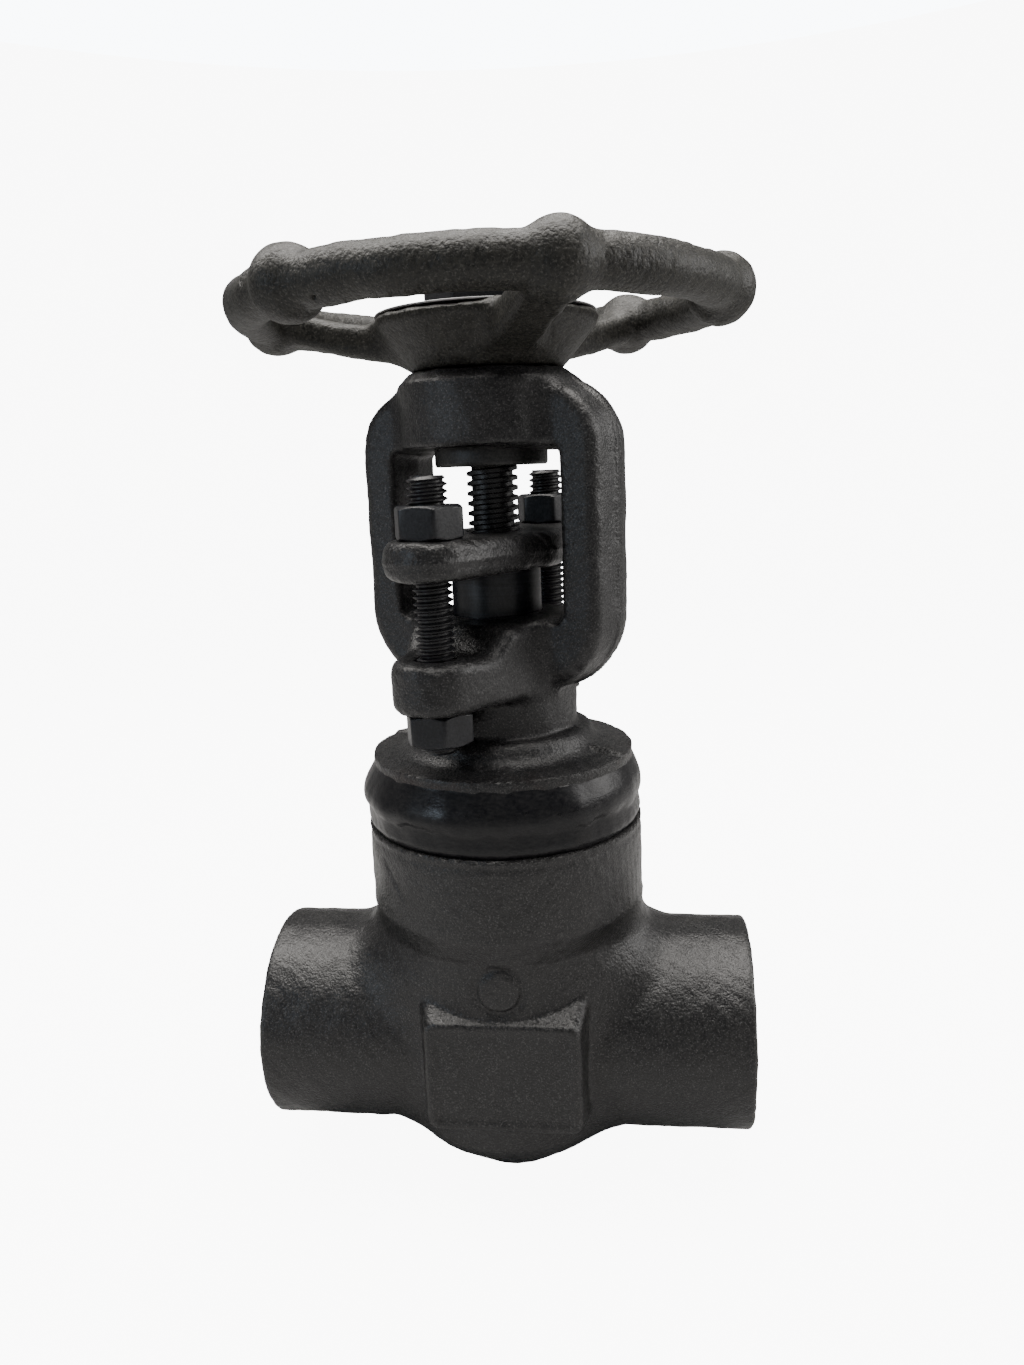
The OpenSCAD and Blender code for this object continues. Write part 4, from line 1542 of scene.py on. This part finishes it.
@dataclass(frozen=True)
class Studio:
    """A pale floor that curves up all round, soft lights, and the camera.

    The floor and the surroundings shine by glow where the camera sees them, so that they look pale. As
    sources of light the floor gives nothing of its own and the surroundings only ambient.
    """

    floor_z: float = -34.5
    flat_r: float = 900.0
    wall_r: float = 1300.0
    wall_top: float = 700.0
    aim: Point = (0.0, 0.0, 70.0)
    camera_at: Point = (29.892, -217.903, 130.313)
    heading: float = 0.1245826
    pitch: float = 0.2149240
    roll: float = -0.0382647
    lens: float = 26.197
    glow: float = 9.0
    ambient: float = 0.12

    def floor(self) -> bpy.types.Object:
        """The floor: a flat disc that turns up through a quarter circle into a wall, turned about Z.

        Returns:
            The floor.
        """
        t = np.linspace(0, np.pi / 2, 24)
        bend = self.wall_r - self.flat_r
        r = np.concatenate([[0.0, 200.0, 500.0], self.flat_r + bend * np.sin(t), [self.wall_r]])[:, None]
        z = np.concatenate([[0.0, 0.0, 0.0], bend * (1 - np.cos(t)), [self.wall_top]])[:, None] + self.floor_z
        a = np.linspace(0, 2 * np.pi, 128, endpoint=False)[None, :]
        places = np.stack([r * np.cos(a), r * np.sin(a), z + 0 * a], axis=-1).reshape(-1, 3)
        mesh = bpy.data.meshes.new("pale_floor")
        mesh.from_pydata((places * MM).tolist(), [], grid_faces(len(r), a.size)[:, ::-1].tolist())
        mesh.shade_smooth()
        floor = bpy.data.objects.new("pale_floor", mesh)
        bpy.context.scene.collection.objects.link(floor)
        material = bpy.data.materials.new("pale_paper")
        material.use_nodes = True
        bench = NodeBench(material.node_tree)
        place = bench.add("ShaderNodeTexCoord").outputs["Object"]
        paper = bench.noise(place, 40.0, 2.0, 0.5)
        tone = bench.ramp(paper, [(0.3, (0.40, 0.40, 0.40)), (0.7, (0.43, 0.43, 0.43))])
        bench.link(tone, bench.shader.inputs["Base Color"])
        seen = bench.add("ShaderNodeLightPath").outputs["Is Camera Ray"]
        bench.shader.inputs["Emission Color"].default_value = (1.0, 1.0, 1.0, 1.0)
        bench.link(bench.math("MULTIPLY", seen, self.glow), bench.shader.inputs["Emission Strength"])
        bench.shader.inputs["Roughness"].default_value = 0.9
        bench.shader.inputs["Specular IOR Level"].default_value = 0.1
        mesh.materials.append(material)
        return floor

    def light(self, lamp: Lamp) -> bpy.types.Object:
        """Hangs a lamp so that it faces the middle of the valve.

        Args:
            lamp: The lamp.

        Returns:
            The light.
        """
        data = bpy.data.lights.new(lamp.name, "AREA")
        data.size = lamp.side * MM
        data.energy = lamp.power
        data.color = lamp.colour
        light = bpy.data.objects.new(lamp.name, data)
        bpy.context.scene.collection.objects.link(light)
        light.location = Vector(lamp.at) * MM
        light.rotation_euler = (Vector(self.aim) * MM - light.location).to_track_quat("-Z", "Y").to_euler()
        return light

    def world(self) -> None:
        """The surroundings: pale where the camera sees them, and dim as a source of light."""
        world = bpy.data.worlds.new("studio")
        bpy.context.scene.world = world
        world.use_nodes = True
        tree = world.node_tree
        back = next(n for n in tree.nodes if n.type == "BACKGROUND")
        back.inputs["Color"].default_value = (0.88, 0.94, 1.0, 1.0)
        seen = tree.nodes.new("ShaderNodeLightPath")
        spread = tree.nodes.new("ShaderNodeMapRange")
        spread.inputs["To Min"].default_value = self.ambient
        spread.inputs["To Max"].default_value = self.glow * 1.2
        tree.links.new(seen.outputs["Is Camera Ray"], spread.inputs["Value"])
        tree.links.new(spread.outputs["Result"], back.inputs["Strength"])

    def camera(self) -> bpy.types.Object:
        """The camera, turned from its heading, pitch and roll.

        It looks along (-sin h cos p, cos h cos p, -sin p), and its right and up directions are turned
        about that line by the roll.

        Returns:
            The camera.
        """
        h, p, k = self.heading, self.pitch, self.roll
        look = np.array([-math.sin(h) * math.cos(p), math.cos(h) * math.cos(p), -math.sin(p)])
        right = np.array([math.cos(h), math.sin(h), 0.0])
        up = np.cross(right, look)
        right, up = math.cos(k) * right + math.sin(k) * up, math.cos(k) * up - math.sin(k) * right
        data = bpy.data.cameras.new("camera")
        data.lens = self.lens
        data.sensor_width = 36.0
        data.clip_start = 0.01
        data.clip_end = 20.0
        camera = bpy.data.objects.new("camera", data)
        bpy.context.scene.collection.objects.link(camera)
        turn = np.eye(4)
        turn[:3, 0], turn[:3, 1], turn[:3, 2] = right, up, -look
        turn[:3, 3] = np.array(self.camera_at) * MM
        camera.matrix_world = Matrix(turn.tolist())
        bpy.context.scene.camera = camera
        return camera

    def build(self) -> None:
        """Sets up the floor, the surroundings, the lights and the camera."""
        self.floor()
        self.world()
        for lamp in LAMPS:
            self.light(lamp)
        self.camera()


def main() -> None:
    """Loads the CAD parts, builds each sub-assembly in order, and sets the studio."""
    logging.basicConfig(level=logging.INFO, format="%(name)s: %(message)s")
    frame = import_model()
    for assembly in (ForgedBody, BonnetYoke, SealWeld, StudSet, Gland, YokeBush, Stem, Handwheel, WheelTop):
        assembly().build()
    InnerParts().build(frame["nodes"])
    Studio().build()


if __name__ == "__main__":
    main()
